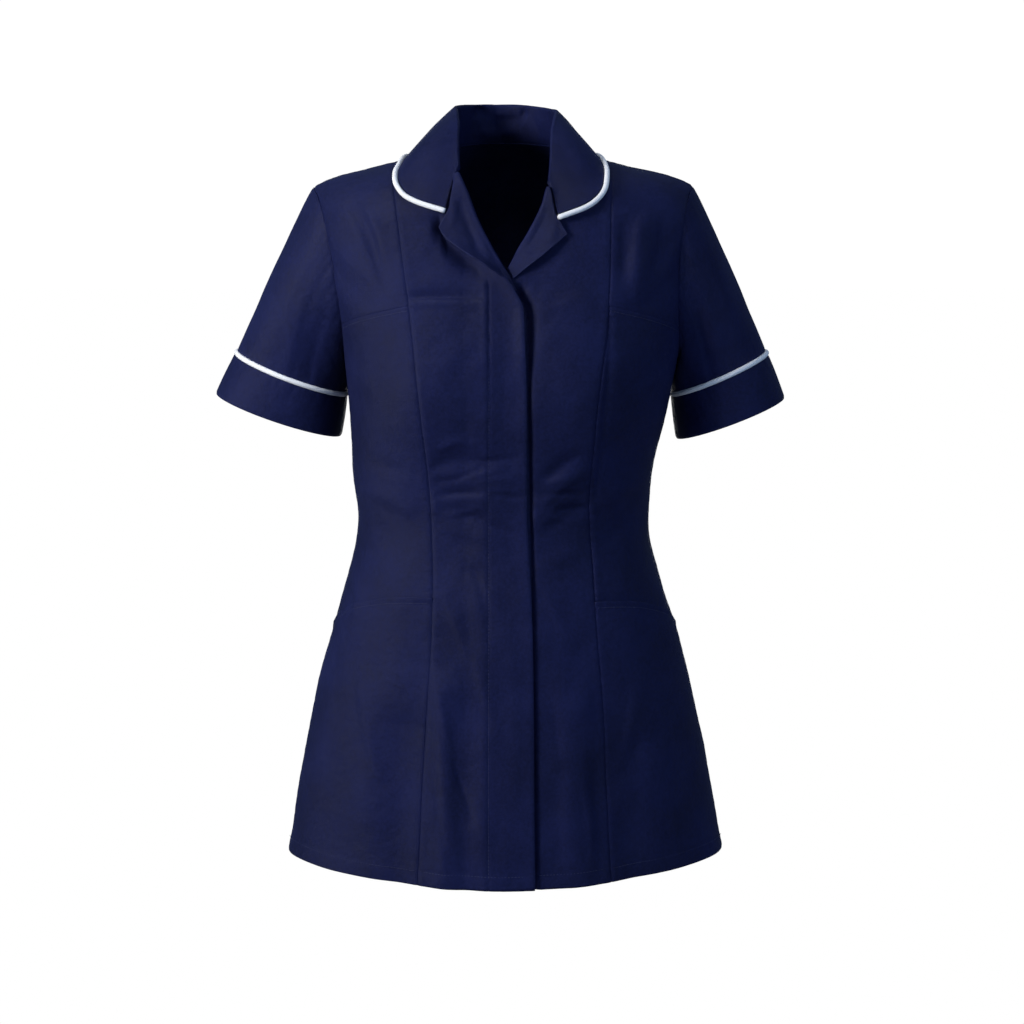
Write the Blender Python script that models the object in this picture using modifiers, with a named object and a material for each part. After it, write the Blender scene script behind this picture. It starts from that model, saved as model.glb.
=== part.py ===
"""Short-sleeved work tunic with princess seams, filled out as it is worn and hollow inside.

Metres, +Z up, the front faces -Y and the wearer's left is +X. The origin is the middle of
the neck's base, level with the side neck points, where the wearer's shoulders hold it.
Every panel is cut from one surface, torso(), which gives the inner face of the cloth.
"""
import math
from collections import namedtuple

import bpy
import numpy as np

RIGHT, LEFT = -1, 1              # the wearer's sides, as signs along X

# Cloth, and the gap between two pieces that are sewn together
CLOTH = 0.0012
SEAM_GAP = 0.0003
LAYER_GAP = 0.0005               # air between a layer and the panel that it lies on

# Cross-sections of the torso, from the hem up: half widths on the wearer's right and left,
# depths in front of and behind the side seams, and how square the section is (2 is an ellipse)
Section = namedtuple("Section", "height right_half left_half front back squareness")
TORSO = (
    Section(-0.720, 0.2200, 0.2225, 0.133, 0.131, 1.75),
    Section(-0.650, 0.2087, 0.2105, 0.130, 0.129, 1.80),
    Section(-0.570, 0.1942, 0.1951, 0.125, 0.125, 1.88),
    Section(-0.490, 0.1749, 0.1759, 0.118, 0.115, 2.00),
    Section(-0.430, 0.1575, 0.1575, 0.109, 0.098, 2.10),
    Section(-0.370, 0.1450, 0.1430, 0.100, 0.084, 2.15),
    Section(-0.310, 0.1493, 0.1478, 0.104, 0.088, 2.20),
    Section(-0.250, 0.1523, 0.1613, 0.113, 0.099, 2.30),
    Section(-0.190, 0.1592, 0.1738, 0.114, 0.108, 2.35),
    Section(-0.130, 0.1745, 0.1830, 0.106, 0.111, 2.40),
    Section(-0.070, 0.1870, 0.1900, 0.093, 0.105, 2.40),
    Section(0.000, 0.2020, 0.2020, 0.080, 0.094, 2.40),
)

# The ridge that the cloth passes over, from the nape out along each shoulder
RidgePoint = namedtuple("RidgePoint", "across height")
RIDGE = (
    RidgePoint(0.000, 0.028),
    RidgePoint(0.030, 0.020),
    RidgePoint(0.065, -0.001),
    RidgePoint(0.090, -0.0080),
    RidgePoint(0.115, -0.0135),
    RidgePoint(0.140, -0.0190),
    RidgePoint(0.164, -0.0255),
    RidgePoint(0.178, -0.0310),
    RidgePoint(0.190, -0.0380),
    RidgePoint(0.204, -0.0500),
)
SHOULDER_ROLL = 0.058            # how far below the ridge the cloth starts to turn over it
SHOULDER_ARC = 0.072             # length of cloth for each radian of that turn

# Fullness shaped by the princess seams
BUST_ACROSS, BUST_HEIGHT = 0.086, -0.225
BUST_HALF_WIDTH, BUST_HALF_HEIGHT, BUST_RISE = 0.055, 0.075, 0.016

# Largest folds: a soft ridge, or a trough where rise is negative, between two places
Fold = namedtuple("Fold", "face across_1 height_1 across_2 height_2 half_width rise")
FRONT, BACK = 0, 1
FOLDS = (
    Fold(FRONT, -0.055, -0.520, -0.058, -0.740, 0.017, 0.0050),
    Fold(FRONT, -0.098, -0.560, -0.106, -0.740, 0.018, -0.0045),
    Fold(FRONT, 0.072, -0.540, 0.076, -0.740, 0.018, 0.0045),
    Fold(FRONT, 0.124, -0.580, 0.130, -0.740, 0.018, -0.0045),
    Fold(FRONT, -0.160, -0.560, -0.176, -0.740, 0.020, 0.0035),
    Fold(FRONT, 0.166, -0.580, 0.184, -0.740, 0.020, 0.0030),
    Fold(FRONT, -0.060, -0.318, -0.020, -0.305, 0.012, -0.0022),
    Fold(FRONT, -0.060, -0.340, -0.005, -0.328, 0.012, 0.0022),
    Fold(FRONT, 0.035, -0.350, 0.075, -0.312, 0.013, 0.0024),
    Fold(FRONT, -0.160, -0.070, -0.108, -0.130, 0.014, 0.0022),
    Fold(FRONT, 0.160, -0.075, 0.118, -0.135, 0.014, 0.0022),
    Fold(BACK, -0.050, -0.540, -0.056, -0.740, 0.020, 0.0050),
    Fold(BACK, 0.058, -0.520, 0.066, -0.740, 0.020, 0.0050),
    Fold(BACK, 0.004, -0.600, 0.006, -0.740, 0.022, -0.0040),
    Fold(BACK, -0.120, -0.580, -0.132, -0.740, 0.022, -0.0040),
    Fold(BACK, 0.128, -0.590, 0.138, -0.740, 0.022, -0.0040),
    Fold(BACK, -0.070, -0.335, 0.060, -0.322, 0.016, -0.0030),
    Fold(BACK, -0.060, -0.372, 0.075, -0.360, 0.016, 0.0025),
)

HEM_FRONT = -0.7105
HEM_SIDE = {RIGHT: -0.7010, LEFT: -0.6985}


def read(rows, column, at):
    """A column's value at places along the first column: cubic between rows, flat outside."""
    places = np.array([row[0] for row in rows])
    values = np.array([getattr(row, column) for row in rows])
    slopes = np.gradient(values, places)
    at = np.clip(at, places[0], places[-1])
    low = np.clip(np.searchsorted(places, at) - 1, 0, len(places) - 2)
    span = places[low + 1] - places[low]
    t = (at - places[low]) / span
    rise = values[low + 1] - values[low]
    start_bend, end_bend = slopes[low] * span - rise, slopes[low + 1] * span - rise
    return values[low] + rise * t + t * (1 - t) * ((1 - t) * start_bend - t * end_bend)


def unit(vectors):
    """Vectors of length one."""
    return vectors / np.maximum(np.linalg.norm(vectors, axis=-1, keepdims=True), 1e-12)


def distance_to_line(x, z, fold):
    """Distance in the front view from places to the line that a fold runs along."""
    along_x, along_z = fold.across_2 - fold.across_1, fold.height_2 - fold.height_1
    share = ((x - fold.across_1) * along_x + (z - fold.height_1) * along_z) / (along_x**2 + along_z**2)
    share = np.clip(share, 0, 1)
    return np.hypot(x - fold.across_1 - share * along_x, z - fold.height_1 - share * along_z)


def torso(angle, path):
    """Points of the inner face of the cloth.

    angle: radians round the body from centre front (0) past the wearer's left side (pi/2) to
    centre back (pi). path: height, carried on over the shoulder by the length of the cloth.
    The section at a height is a superellipse, x = half sin^p, y = depth cos^p with
    p = 2 / squareness, and over the shoulder y and z follow a quarter of an ellipse.
    """
    angle, path = np.broadcast_arrays(np.asarray(angle, float), np.asarray(path, float))
    power = 2 / read(TORSO, "squareness", path)
    sine, cosine = np.sin(angle), np.cos(angle)
    half = np.where(sine > 0, read(TORSO, "left_half", path), read(TORSO, "right_half", path))
    depth = np.where(cosine > 0, read(TORSO, "front", path), read(TORSO, "back", path))
    x = half * np.sign(sine) * np.abs(sine)**power
    deep = depth * np.abs(cosine)**power
    roll_start = read(RIDGE, "height", np.abs(x)) - SHOULDER_ROLL
    turn = np.clip((path - roll_start) / SHOULDER_ARC, 0, math.pi / 2)
    z = np.where(path < roll_start, path, roll_start + SHOULDER_ROLL * np.sin(turn))
    bust = BUST_RISE * np.exp(-((np.abs(x) - BUST_ACROSS) / BUST_HALF_WIDTH)**2
                              - ((path - BUST_HEIGHT) / BUST_HALF_HEIGHT)**2)
    deep = deep * np.cos(turn) + np.where(cosine > 0, bust * np.abs(cosine), 0)
    for fold in FOLDS:
        facing = np.where((cosine > 0) == (fold.face == FRONT), np.abs(cosine), 0)
        deep = deep + facing * fold.rise * np.exp(-(distance_to_line(x, path, fold) / fold.half_width)**2)
    return np.stack([x, np.where(cosine > 0, -deep, deep), z], axis=-1)


def outward(angle, path):
    """Unit normals of torso(), from its slopes along both parameters."""
    step = 0.002
    along = torso(angle + step, path) - torso(angle - step, path)
    up = torso(angle, path + step) - torso(angle, path - step)
    return unit(np.cross(along, up))


def lifted(places, lift):
    """Points that stand a height off the torso, at places given as (angle, path)."""
    angle, path = places[..., 0], places[..., 1]
    return torso(angle, path) + np.asarray(lift)[..., None] * outward(angle, path)


def ridge_path(across):
    """Path at the top of the shoulder."""
    return read(RIDGE, "height", abs(across)) - SHOULDER_ROLL + SHOULDER_ARC * math.pi / 2


def resample(points, count):
    """Points spaced evenly by length along a line through the given points."""
    points = np.asarray(points, float)
    lengths = np.concatenate([[0], np.cumsum(np.linalg.norm(np.diff(points, axis=0), axis=1))])
    at = np.linspace(0, lengths[-1], count)
    return np.stack([np.interp(at, lengths, points[:, axis]) for axis in range(points.shape[1])], axis=-1)


def smooth_line(points, count):
    """Points along a Catmull-Rom curve through the given points, evenly spaced by length."""
    points = np.asarray(points, float)
    padded = np.concatenate([[2 * points[0] - points[1]], points, [2 * points[-1] - points[-2]]])
    t = np.linspace(0, 1, 12, endpoint=False)[:, None]
    fine = []
    for before, start, end, after in zip(padded, padded[1:], padded[2:], padded[3:]):
        fine.append(0.5 * (2 * start + (end - before) * t + (2 * before - 5 * start + 4 * end - after) * t**2
                           + (3 * start - before - 3 * end + after) * t**3))
    fine.append(points[-1:])
    return resample(np.concatenate(fine), count)


def patch(bottom, top, left, right):
    """Coons patch: a grid whose four edges are the given lines, which share their corners."""
    rows, columns = len(left), len(bottom)
    u = np.linspace(0, 1, columns)[None, :, None]
    v = np.linspace(0, 1, rows)[:, None, None]
    across = (1 - u) * left[:, None] + u * right[:, None]
    along = (1 - v) * bottom[None] + v * top[None]
    corners = ((1 - u) * (1 - v) * bottom[0] + u * (1 - v) * bottom[-1]
               + (1 - u) * v * top[0] + u * v * top[-1])
    return across + along - corners


def trimmed(grid, trim=SEAM_GAP / 2):
    """The grid with its border moved in by the trim, measured square to the edge."""
    grid = grid.copy()
    for axis in (0, 1):
        lines = grid if axis == 0 else grid.swapaxes(0, 1)
        for edge, inner in ((0, 1), (-1, -2)):
            along = unit(np.gradient(lines[edge], axis=0))
            inward = lines[inner] - lines[edge]
            square = inward - (inward * along).sum(-1, keepdims=True) * along
            lines[edge] += trim * inward / np.maximum(np.linalg.norm(square, axis=-1, keepdims=True), 0.001)
    return grid


# Materials, as a colour, a roughness and a metallic value
def material(name, colour, roughness):
    made = bpy.data.materials.new(name)
    made.use_nodes = True
    shader = made.node_tree.nodes["Principled BSDF"]
    shader.inputs["Base Color"].default_value = (*colour, 1)
    shader.inputs["Roughness"].default_value = roughness
    shader.inputs["Metallic"].default_value = 0
    made.diffuse_color = (*colour, 1)
    return made


def cloth_piece(name, grid, finish, wall=CLOTH, closed=False):
    """A cut piece: the grid is its inner face, and Solidify makes the wall outside it.

    closed joins the last column to the first, for a tube.
    """
    rows, columns = grid.shape[:2]
    number = np.arange(rows * columns).reshape(rows, columns)
    spans = columns if closed else columns - 1
    after = np.roll(number, -1, axis=1)
    faces = np.stack([number[:-1, :spans], after[:-1, :spans], after[1:, :spans], number[1:, :spans]], -1)
    mesh = bpy.data.meshes.new(name)
    mesh.from_pydata(grid.reshape(-1, 3).tolist(), [], faces.reshape(-1, 4).tolist())
    mesh.shade_smooth()
    mesh.materials.append(finish)
    piece = bpy.data.objects.new(name, mesh)
    parts.objects.link(piece)
    thickness = piece.modifiers.new("Cloth", "SOLIDIFY")
    thickness.thickness = wall
    thickness.offset = 1
    return piece


def piping(name, line, radius, finish, closed=False):
    """A round cord sewn along an edge: a curve with a bevel."""
    curve = bpy.data.curves.new(name, "CURVE")
    curve.dimensions = "3D"
    curve.bevel_depth = radius
    curve.bevel_resolution = 1
    curve.use_fill_caps = True
    spline = curve.splines.new("POLY")
    spline.points.add(len(line) - 1)
    spline.points.foreach_set("co", np.c_[line, np.ones(len(line))].ravel())
    spline.use_cyclic_u = closed
    curve.materials.append(finish)
    piece = bpy.data.objects.new(name, curve)
    parts.objects.link(piece)
    return piece


for old in list(bpy.data.objects):
    bpy.data.objects.remove(old)
parts = bpy.data.collections.new("work_tunic")
bpy.context.scene.collection.children.link(parts)
navy = material("navy_cloth", (0.012, 0.014, 0.075), 0.8)
white = material("white_piping", (0.85, 0.85, 0.86), 0.6)

# Seam lines, from the hem up: how far across they are at each length up the torso
SeamPoint = namedtuple("SeamPoint", "path across")
PRINCESS = {
    RIGHT: (
        SeamPoint(-0.730, -0.0845), SeamPoint(-0.660, -0.0815), SeamPoint(-0.600, -0.0785),
        SeamPoint(-0.520, -0.0730), SeamPoint(-0.450, -0.0690), SeamPoint(-0.390, -0.0690),
        SeamPoint(-0.320, -0.0720), SeamPoint(-0.260, -0.0785), SeamPoint(-0.200, -0.0850),
        SeamPoint(-0.140, -0.0920), SeamPoint(-0.100, -0.0975), SeamPoint(-0.045, -0.1045),
        SeamPoint(0.000, -0.1080),
    ),
    LEFT: (
        SeamPoint(-0.730, 0.1050), SeamPoint(-0.660, 0.1022), SeamPoint(-0.600, 0.0992),
        SeamPoint(-0.540, 0.0965), SeamPoint(-0.480, 0.0915), SeamPoint(-0.410, 0.0865),
        SeamPoint(-0.335, 0.0825), SeamPoint(-0.270, 0.0870), SeamPoint(-0.210, 0.0935),
        SeamPoint(-0.175, 0.0990), SeamPoint(-0.145, 0.1010), SeamPoint(-0.060, 0.1035),
        SeamPoint(0.000, 0.1040),
    ),
}
SHOULDER_POINT = {RIGHT: -0.1865, LEFT: 0.1845}

SIDE_ANGLE = math.radians(88)    # the side seams lie just in front of the widest place
UNDERARM = -0.205                # path at the lowest point of the armhole
ARMHOLE_TURN = 6                 # how quickly the armhole turns up from the underarm
BUST_SEAM_INNER = {RIGHT: -0.1475, LEFT: -0.1475}
BUST_SEAM_OUTER = {RIGHT: -0.1680, LEFT: -0.1710}
POCKET_INNER = {RIGHT: -0.4300, LEFT: -0.4350}
POCKET_OUTER = {RIGHT: -0.4700, LEFT: -0.4690}
POCKET_DROP = 2.2                # how late the pocket mouth drops on its way to the side


def hem_path(angle):
    """The hem hangs a little lower in front and behind than at the sides."""
    at_side = np.where(np.sin(angle) > 0, HEM_SIDE[LEFT], HEM_SIDE[RIGHT])
    return at_side + (HEM_FRONT - at_side) * np.cos(angle)**2


def across_place(across, path):
    """(angle, path) of the point of the torso's front that is so far across at that path."""
    half = read(TORSO, "left_half" if across > 0 else "right_half", path)
    squareness = read(TORSO, "squareness", path)
    return np.array([math.copysign(math.asin(min(1, abs(across) / half)**(squareness / 2)), across), path])


def princess_place(side, path):
    return across_place(float(read(PRINCESS[side], "across", path)), path)


def princess_hem(side):
    angle = princess_place(side, HEM_FRONT)[0]
    return np.array([angle, hem_path(angle)])


def princess_shoulder(side):
    return princess_place(side, ridge_path(PRINCESS[side][-1].across))


def princess_line(side, low, high, count):
    """Places along a princess seam between two paths."""
    return np.array([princess_place(side, path) for path in np.linspace(low, high, count)])


def shoulder_place(across):
    return across_place(across, ridge_path(across))


def back_of(place_on_front):
    """The place behind a place on the front, at the same path and as far across."""
    return np.array([math.pi - place_on_front[0], place_on_front[1]])


def place(across, height):
    """(angle, path) of the point of the torso that the front view shows at (across, height)."""
    roll_start = float(read(RIDGE, "height", abs(across))) - SHOULDER_ROLL
    path = height
    if height > roll_start:
        path = roll_start + SHOULDER_ARC * math.asin(min(1.0, (height - roll_start) / SHOULDER_ROLL))
    return across_place(across, path)


def armhole(side, share, face=FRONT):
    """Place on an armhole's edge: share 0 is the underarm, and 1 the shoulder point."""
    top = shoulder_place(SHOULDER_POINT[side])
    path = UNDERARM + (top[1] - UNDERARM) * share
    turn = (1 - share)**ARMHOLE_TURN
    angle = abs(top[0]) + (SIDE_ANGLE - abs(top[0])) * turn
    if face == BACK:
        angle = math.pi - angle
    return np.array([side * angle, path])


def armhole_share(side, height):
    top = shoulder_place(SHOULDER_POINT[side])
    return (height - UNDERARM) / (top[1] - UNDERARM)


# How many cells each piece has. Pieces that share a seam have the same rows along it.
FRONT_COLUMNS, BUST_COLUMNS, UNDERARM_COLUMNS = 6, 5, 3
POCKET_ROWS, WAIST_ROWS, YOKE_ROWS = 9, 12, 12
BACK_SHOULDER_COLUMNS, BACK_NECK_COLUMNS, BACK_YOKE_ROWS = 6, 8, 9
BUST_ROW = POCKET_ROWS + WAIST_ROWS
GORGE_ROW = BUST_ROW + 8

# The open edge of each front from the hem up, its roll line, and the gorge where the collar
# starts, as the front view shows them. The wearer's right front lies over the left one.
EdgePoint = namedtuple("EdgePoint", "across height")
OPEN_EDGE = {
    RIGHT: (
        EdgePoint(0.0298, -0.7105), EdgePoint(0.0262, -0.4300), EdgePoint(0.0224, -0.2400),
        EdgePoint(0.0198, -0.1600), EdgePoint(0.0175, -0.1460), EdgePoint(0.0118, -0.1350),
        EdgePoint(0.0085, -0.1293), EdgePoint(0.0050, -0.1235), EdgePoint(-0.0033, -0.1100),
        EdgePoint(-0.0140, -0.0926),
        EdgePoint(-0.0274, -0.0658), EdgePoint(-0.0378, -0.0382), EdgePoint(-0.0454, -0.0220),
    ),
    LEFT: (
        EdgePoint(-0.0100, -0.7105), EdgePoint(-0.0100, -0.4300), EdgePoint(-0.0100, -0.2400),
        EdgePoint(-0.0100, -0.1600), EdgePoint(-0.0100, -0.1480), EdgePoint(-0.0050, -0.1340),
        EdgePoint(0.0040, -0.1215), EdgePoint(0.0095, -0.1150), EdgePoint(0.0100, -0.1060),
        EdgePoint(0.0160, -0.0945), EdgePoint(0.0279, -0.0754),
        EdgePoint(0.0393, -0.0516), EdgePoint(0.0441, -0.0345),
    ),
}
NECK_FRONT = {RIGHT: EdgePoint(-0.0575, -0.0085), LEFT: EdgePoint(0.0572, -0.0120)}
NECK_POINT = {RIGHT: -0.0640, LEFT: 0.0645}
NAPE = (
    EdgePoint(0.056, 0.0020), EdgePoint(0.036, 0.0060), EdgePoint(0.015, 0.0078),
    EdgePoint(0.000, 0.0080),
)

EDGE_POINTS = 800                # along a front's whole edge, before its rows are picked

# The right front rises over the left one from this line on, and its concealed placket stands proud
PLACKET_START, PLACKET_RAMP, PLACKET_LIFT = -0.040, 0.024, 0.0030


def placket_lift(places):
    """How far the right front stands off the torso: a smooth step as it nears the placket."""
    across = torso(places[..., 0], places[..., 1])[..., 0]
    step = np.clip((across - PLACKET_START) / PLACKET_RAMP, 0, 1)
    return PLACKET_LIFT * step * step * (3 - 2 * step)


def no_lift(places):
    return np.zeros(places.shape[:-1])


FRONT_LIFT = {RIGHT: placket_lift, LEFT: no_lift}


def mirrored_columns(side, grid):
    """Columns run towards the wearer's left, so that a grid's faces point out."""
    return grid if side == RIGHT else grid[:, ::-1]


def front_neck(side):
    """Places of the neckline of a front, from the gorge to the side neck point."""
    gorge = OPEN_EDGE[side][-1]
    middle = NECK_FRONT[side]
    return np.array([place(*gorge), place(*middle), shoulder_place(NECK_POINT[side])])


def princess_rows(side):
    """Places along a princess seam at the rows of the pieces that meet there."""
    hem, mouth, bust, top = (princess_hem(side), princess_place(side, POCKET_INNER[side]),
                             princess_place(side, BUST_SEAM_INNER[side]), princess_shoulder(side))
    pocket = princess_line(side, hem[1], mouth[1], POCKET_ROWS + 1)
    pocket[0] = hem
    waist = princess_line(side, mouth[1], bust[1], WAIST_ROWS + 1)
    yoke = princess_line(side, bust[1], top[1], YOKE_ROWS + 1)
    return np.concatenate([pocket, waist[1:], yoke[1:]])


def side_rows(side):
    """Places along a side seam at the rows of the pieces that meet there."""
    paths = np.concatenate([np.linspace(hem_path(side * SIDE_ANGLE), POCKET_OUTER[side], POCKET_ROWS + 1),
                            np.linspace(POCKET_OUTER[side], UNDERARM, WAIST_ROWS + 1)[1:]])
    return np.stack([np.full(len(paths), side * SIDE_ANGLE), paths], axis=-1)


def front_edge(side):
    """Places along a front's open edge and its neckline, with as many rows as the princess seam."""
    points = np.array([place(*point) for point in OPEN_EDGE[side]])
    fine = smooth_line(np.concatenate([points, front_neck(side)[1:]]), EDGE_POINTS)
    bust = np.argmax(fine[:, 1] > BUST_SEAM_INNER[side])
    gorge = np.argmin(np.abs(fine - points[-1]).sum(-1))
    edge = np.concatenate([resample(fine[:bust + 1], BUST_ROW + 1),
                           resample(fine[bust:gorge + 1], GORGE_ROW - BUST_ROW + 1)[1:],
                           resample(fine[gorge:], BUST_ROW + YOKE_ROWS - GORGE_ROW + 1)[1:]])
    edge[0, 1] = hem_path(edge[0, 0])
    return edge


def front_panel(side):
    """Centre front: from the princess seam to the open edge, up to the neck and shoulder."""
    seam, edge = princess_rows(side), front_edge(side)
    bottom = np.linspace(seam[0], edge[0], FRONT_COLUMNS + 1)
    bottom[:, 1] = hem_path(bottom[:, 0])
    shoulder = np.linspace(0, 1, FRONT_COLUMNS + 1)
    across = PRINCESS[side][-1].across + (NECK_POINT[side] - PRINCESS[side][-1].across) * shoulder
    above = np.array([shoulder_place(x) for x in across])
    return mirrored_columns(side, patch(bottom, above, seam, edge))


def side_panel(side):
    """Side front below the bust seam, in two patches that meet along the pocket's mouth."""
    seam, edge = princess_rows(side), side_rows(side)
    columns = UNDERARM_COLUMNS + BUST_COLUMNS
    bottom = np.linspace(seam[0], edge[0], columns + 1)
    bottom[:, 1] = hem_path(bottom[:, 0])
    across = np.linspace(0, 1, columns + 1)
    mouth = np.linspace(seam[POCKET_ROWS], edge[POCKET_ROWS], columns + 1)
    mouth[:, 1] = mouth[0, 1] + (mouth[-1, 1] - mouth[0, 1]) * across**POCKET_DROP
    below_arm = np.array([armhole(side, share) for share in underarm_shares(side)[::-1]])
    bust = np.linspace(seam[BUST_ROW], below_arm[0], BUST_COLUMNS + 1)
    top = np.concatenate([bust, below_arm[1:]])
    pocket = patch(bottom, mouth, seam[:POCKET_ROWS + 1], edge[:POCKET_ROWS + 1])
    waist = patch(mouth, top, seam[POCKET_ROWS:BUST_ROW + 1], edge[POCKET_ROWS:])
    return side_columns(side, pocket), side_columns(side, np.concatenate([pocket, waist[1:]]))


def side_columns(side, grid):
    """Columns run towards the wearer's left, from places that start at the princess seam."""
    return grid if side == LEFT else grid[:, ::-1]


def underarm_shares(side):
    """Shares of the armhole from the underarm up to the bust seam."""
    return np.linspace(0, armhole_share(side, BUST_SEAM_OUTER[side]), UNDERARM_COLUMNS + 1)


def yoke_shares(side):
    """Shares of the armhole from the bust seam up to the shoulder point."""
    return np.linspace(armhole_share(side, BUST_SEAM_OUTER[side]), 1, YOKE_ROWS + 1)


BACK_SHARES = np.linspace(0, 1, BACK_YOKE_ROWS + 1)


def yoke_panel(side):
    """Side front above the bust seam, up to the shoulder."""
    edge = np.array([armhole(side, share) for share in yoke_shares(side)])
    seam = princess_rows(side)[-YOKE_ROWS - 1:]
    bottom = np.linspace(seam[0], edge[0], BUST_COLUMNS + 1)
    across = np.linspace(PRINCESS[side][-1].across, SHOULDER_POINT[side], BUST_COLUMNS + 1)
    top = np.array([shoulder_place(x) for x in across])
    return side_columns(side, patch(bottom, top, seam, edge))


def back_neck():
    """Places of the back neckline, from the wearer's left side neck point to the right one."""
    points = [back_of(shoulder_place(NECK_POINT[LEFT]))]
    points += [back_of(place(*point)) for point in NAPE]
    points += [[2 * math.pi - angle, path] for angle, path in points[-2::-1]]
    return smooth_line(points, BACK_NECK_COLUMNS + 1)


def round_the_back(side, front_place):
    """A place behind one on the front, with angles that grow from the left side to the right."""
    angle, path = back_of(np.array([abs(front_place[0]), front_place[1]]))
    return np.array([angle if side == LEFT else 2 * math.pi - angle, path])


def back_panel():
    """The back in one piece, from side seam to side seam, in a waist part and a yoke part."""
    seams = {LEFT: side_rows(LEFT), RIGHT: side_rows(RIGHT) + [2 * math.pi, 0]}
    columns = 2 * BACK_SHOULDER_COLUMNS + BACK_NECK_COLUMNS
    angles = np.linspace(seams[LEFT][0, 0], seams[RIGHT][0, 0], columns + 1)
    bottom = np.stack([angles, hem_path(angles)], axis=-1)
    middle = np.stack([angles, np.full(columns + 1, UNDERARM)], axis=-1)
    waist = patch(bottom, middle, seams[LEFT], seams[RIGHT])
    arms = {side: np.array([round_the_back(side, armhole(side, share)) for share in BACK_SHARES])
            for side in (LEFT, RIGHT)}
    shoulders = {}
    for side in (LEFT, RIGHT):
        across = np.linspace(SHOULDER_POINT[side], NECK_POINT[side], BACK_SHOULDER_COLUMNS + 1)
        shoulders[side] = np.array([round_the_back(side, shoulder_place(x)) for x in across])
    top = np.concatenate([shoulders[LEFT], back_neck()[1:-1], shoulders[RIGHT][::-1]])
    arms[LEFT][0], arms[RIGHT][0] = middle[0], middle[-1]
    yoke = patch(middle, top, arms[LEFT], arms[RIGHT])
    return np.concatenate([waist, yoke[1:]])


def sewn(places, lift=0.0):
    """Points of a panel from its places, trimmed at its seams."""
    return trimmed(lifted(places, lift + np.zeros(places.shape[:-1])))


pocket_places = {}
for side, word in ((RIGHT, "right"), (LEFT, "left")):
    places = front_panel(side)
    cloth_piece(f"front_{word}", sewn(places, FRONT_LIFT[side](places)), navy)
    pocket_places[side], side_places = side_panel(side)
    cloth_piece(f"side_front_{word}", sewn(side_places), navy)
    cloth_piece(f"yoke_front_{word}", sewn(yoke_panel(side)), navy)
cloth_piece("back", sewn(back_panel()), navy)

# Pockets: a layer on each side front from the mouth to the hem, which gapes a little at its mouth
POCKET_GAPE, POCKET_GAPE_SHARE = 0.0025, 0.25
for side, word in ((RIGHT, "right"), (LEFT, "left")):
    places = pocket_places[side]
    rows, columns = places.shape[:2]
    up = np.linspace(0, 1, rows)[:, None]
    across = np.linspace(0, 1, columns)[None, :]
    gape = POCKET_GAPE * np.clip(1 - (1 - up) / POCKET_GAPE_SHARE, 0, 1)**2 * np.sin(math.pi * across)
    cloth_piece(f"pocket_{word}", sewn(places, CLOTH + LAYER_GAP + gape), navy)

# Sleeves: loops from the armhole to the cuff. Each row gives the ends, in the front view, of the
# sleeve's widest line at the piping and at the hem, first on the outside and then by the body.
# tilt is how far the front hangs lower than the back, in degrees.
Sleeve = namedtuple("Sleeve", "piping_outer piping_inner hem_outer hem_inner tilt")
SLEEVES = {
    RIGHT: Sleeve((-0.2670, -0.2000), (-0.1590, -0.2405), (-0.2880, -0.2410), (-0.1650, -0.2830), 4),
    LEFT: Sleeve((0.2620, -0.2005), (0.1695, -0.2410), (0.2805, -0.2455), (0.1745, -0.2860), 2),
}
SLEEVE_CENTRE, SLEEVE_HALF_DEPTH = 0.030, 0.050      # along Y
SLEEVE_ROWS, CUFF_ROWS = 8, 2
CUFF_CLOTH = 0.0018
PIPING_RADIUS = 0.0026
PIPING_OUT = 0.0012              # how far the cord's line stands outside the sleeve's
CORNER_ROOM = 2.1                # shares of the cloth's thickness
SEAM_ROOM = 1.3                  # shares of the seam gap, at the armhole
CUFF_PIPING_ROOM = 2.2           # shares of the seam gap, from the cord to the cloths beside it
SLEEVE_REACH = 0.013             # how far the cloth runs straight out of the armhole,
SLEEVE_REACH_OUTER = 0.001       # more on the outside,
SLEEVE_REACH_FRONT = 0.017       # and more in front and behind
SLEEVE_STRAIGHT = 0.35           # share of its length that follows the arm above the cuff
SLEEVE_ASIDE, SLEEVE_DOWN, SLEEVE_DOWN_OUTER = 0.9, 0.85, 0.31


def cuff_loop(outer, inner, tilt, turn):
    """An ellipse round the arm: turn is 0 outside, pi/2 in front and pi by the body."""
    outer = np.array([outer[0], SLEEVE_CENTRE, outer[1]])
    inner = np.array([inner[0], SLEEVE_CENTRE, inner[1]])
    deep = SLEEVE_HALF_DEPTH * np.array([0, -math.cos(math.radians(tilt)), -math.sin(math.radians(tilt))])
    cosine, sine = np.cos(turn)[:, None], np.sin(turn)[:, None]
    return (outer + inner) / 2 + (outer - inner) / 2 * cosine + deep * sine


def armhole_points(side):
    """Points and normals round an armhole: from the shoulder down the front, and up the back."""
    front = np.concatenate([yoke_shares(side)[:0:-1], underarm_shares(side)[::-1]])
    places = np.array([armhole(side, share) for share in front]
                      + [armhole(side, share, BACK) for share in BACK_SHARES[1:-1]])
    return torso(places[:, 0], places[:, 1]), outward(places[:, 0], places[:, 1])


def sewn_in(points, normals, out):
    """The loop moved off the armhole's edge, further where the two cloths meet at a corner."""
    along = unit(np.roll(points, -1, axis=0) - np.roll(points, 1, axis=0))
    off = unit(np.cross(normals, along))
    off *= np.sign((off * (points.mean(axis=0) - points)).sum(-1, keepdims=True))
    corner = np.clip((out * normals).sum(-1, keepdims=True), 0, 1)
    return points + (SEAM_ROOM * SEAM_GAP + CORNER_ROOM * CLOTH * corner) * off


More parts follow.
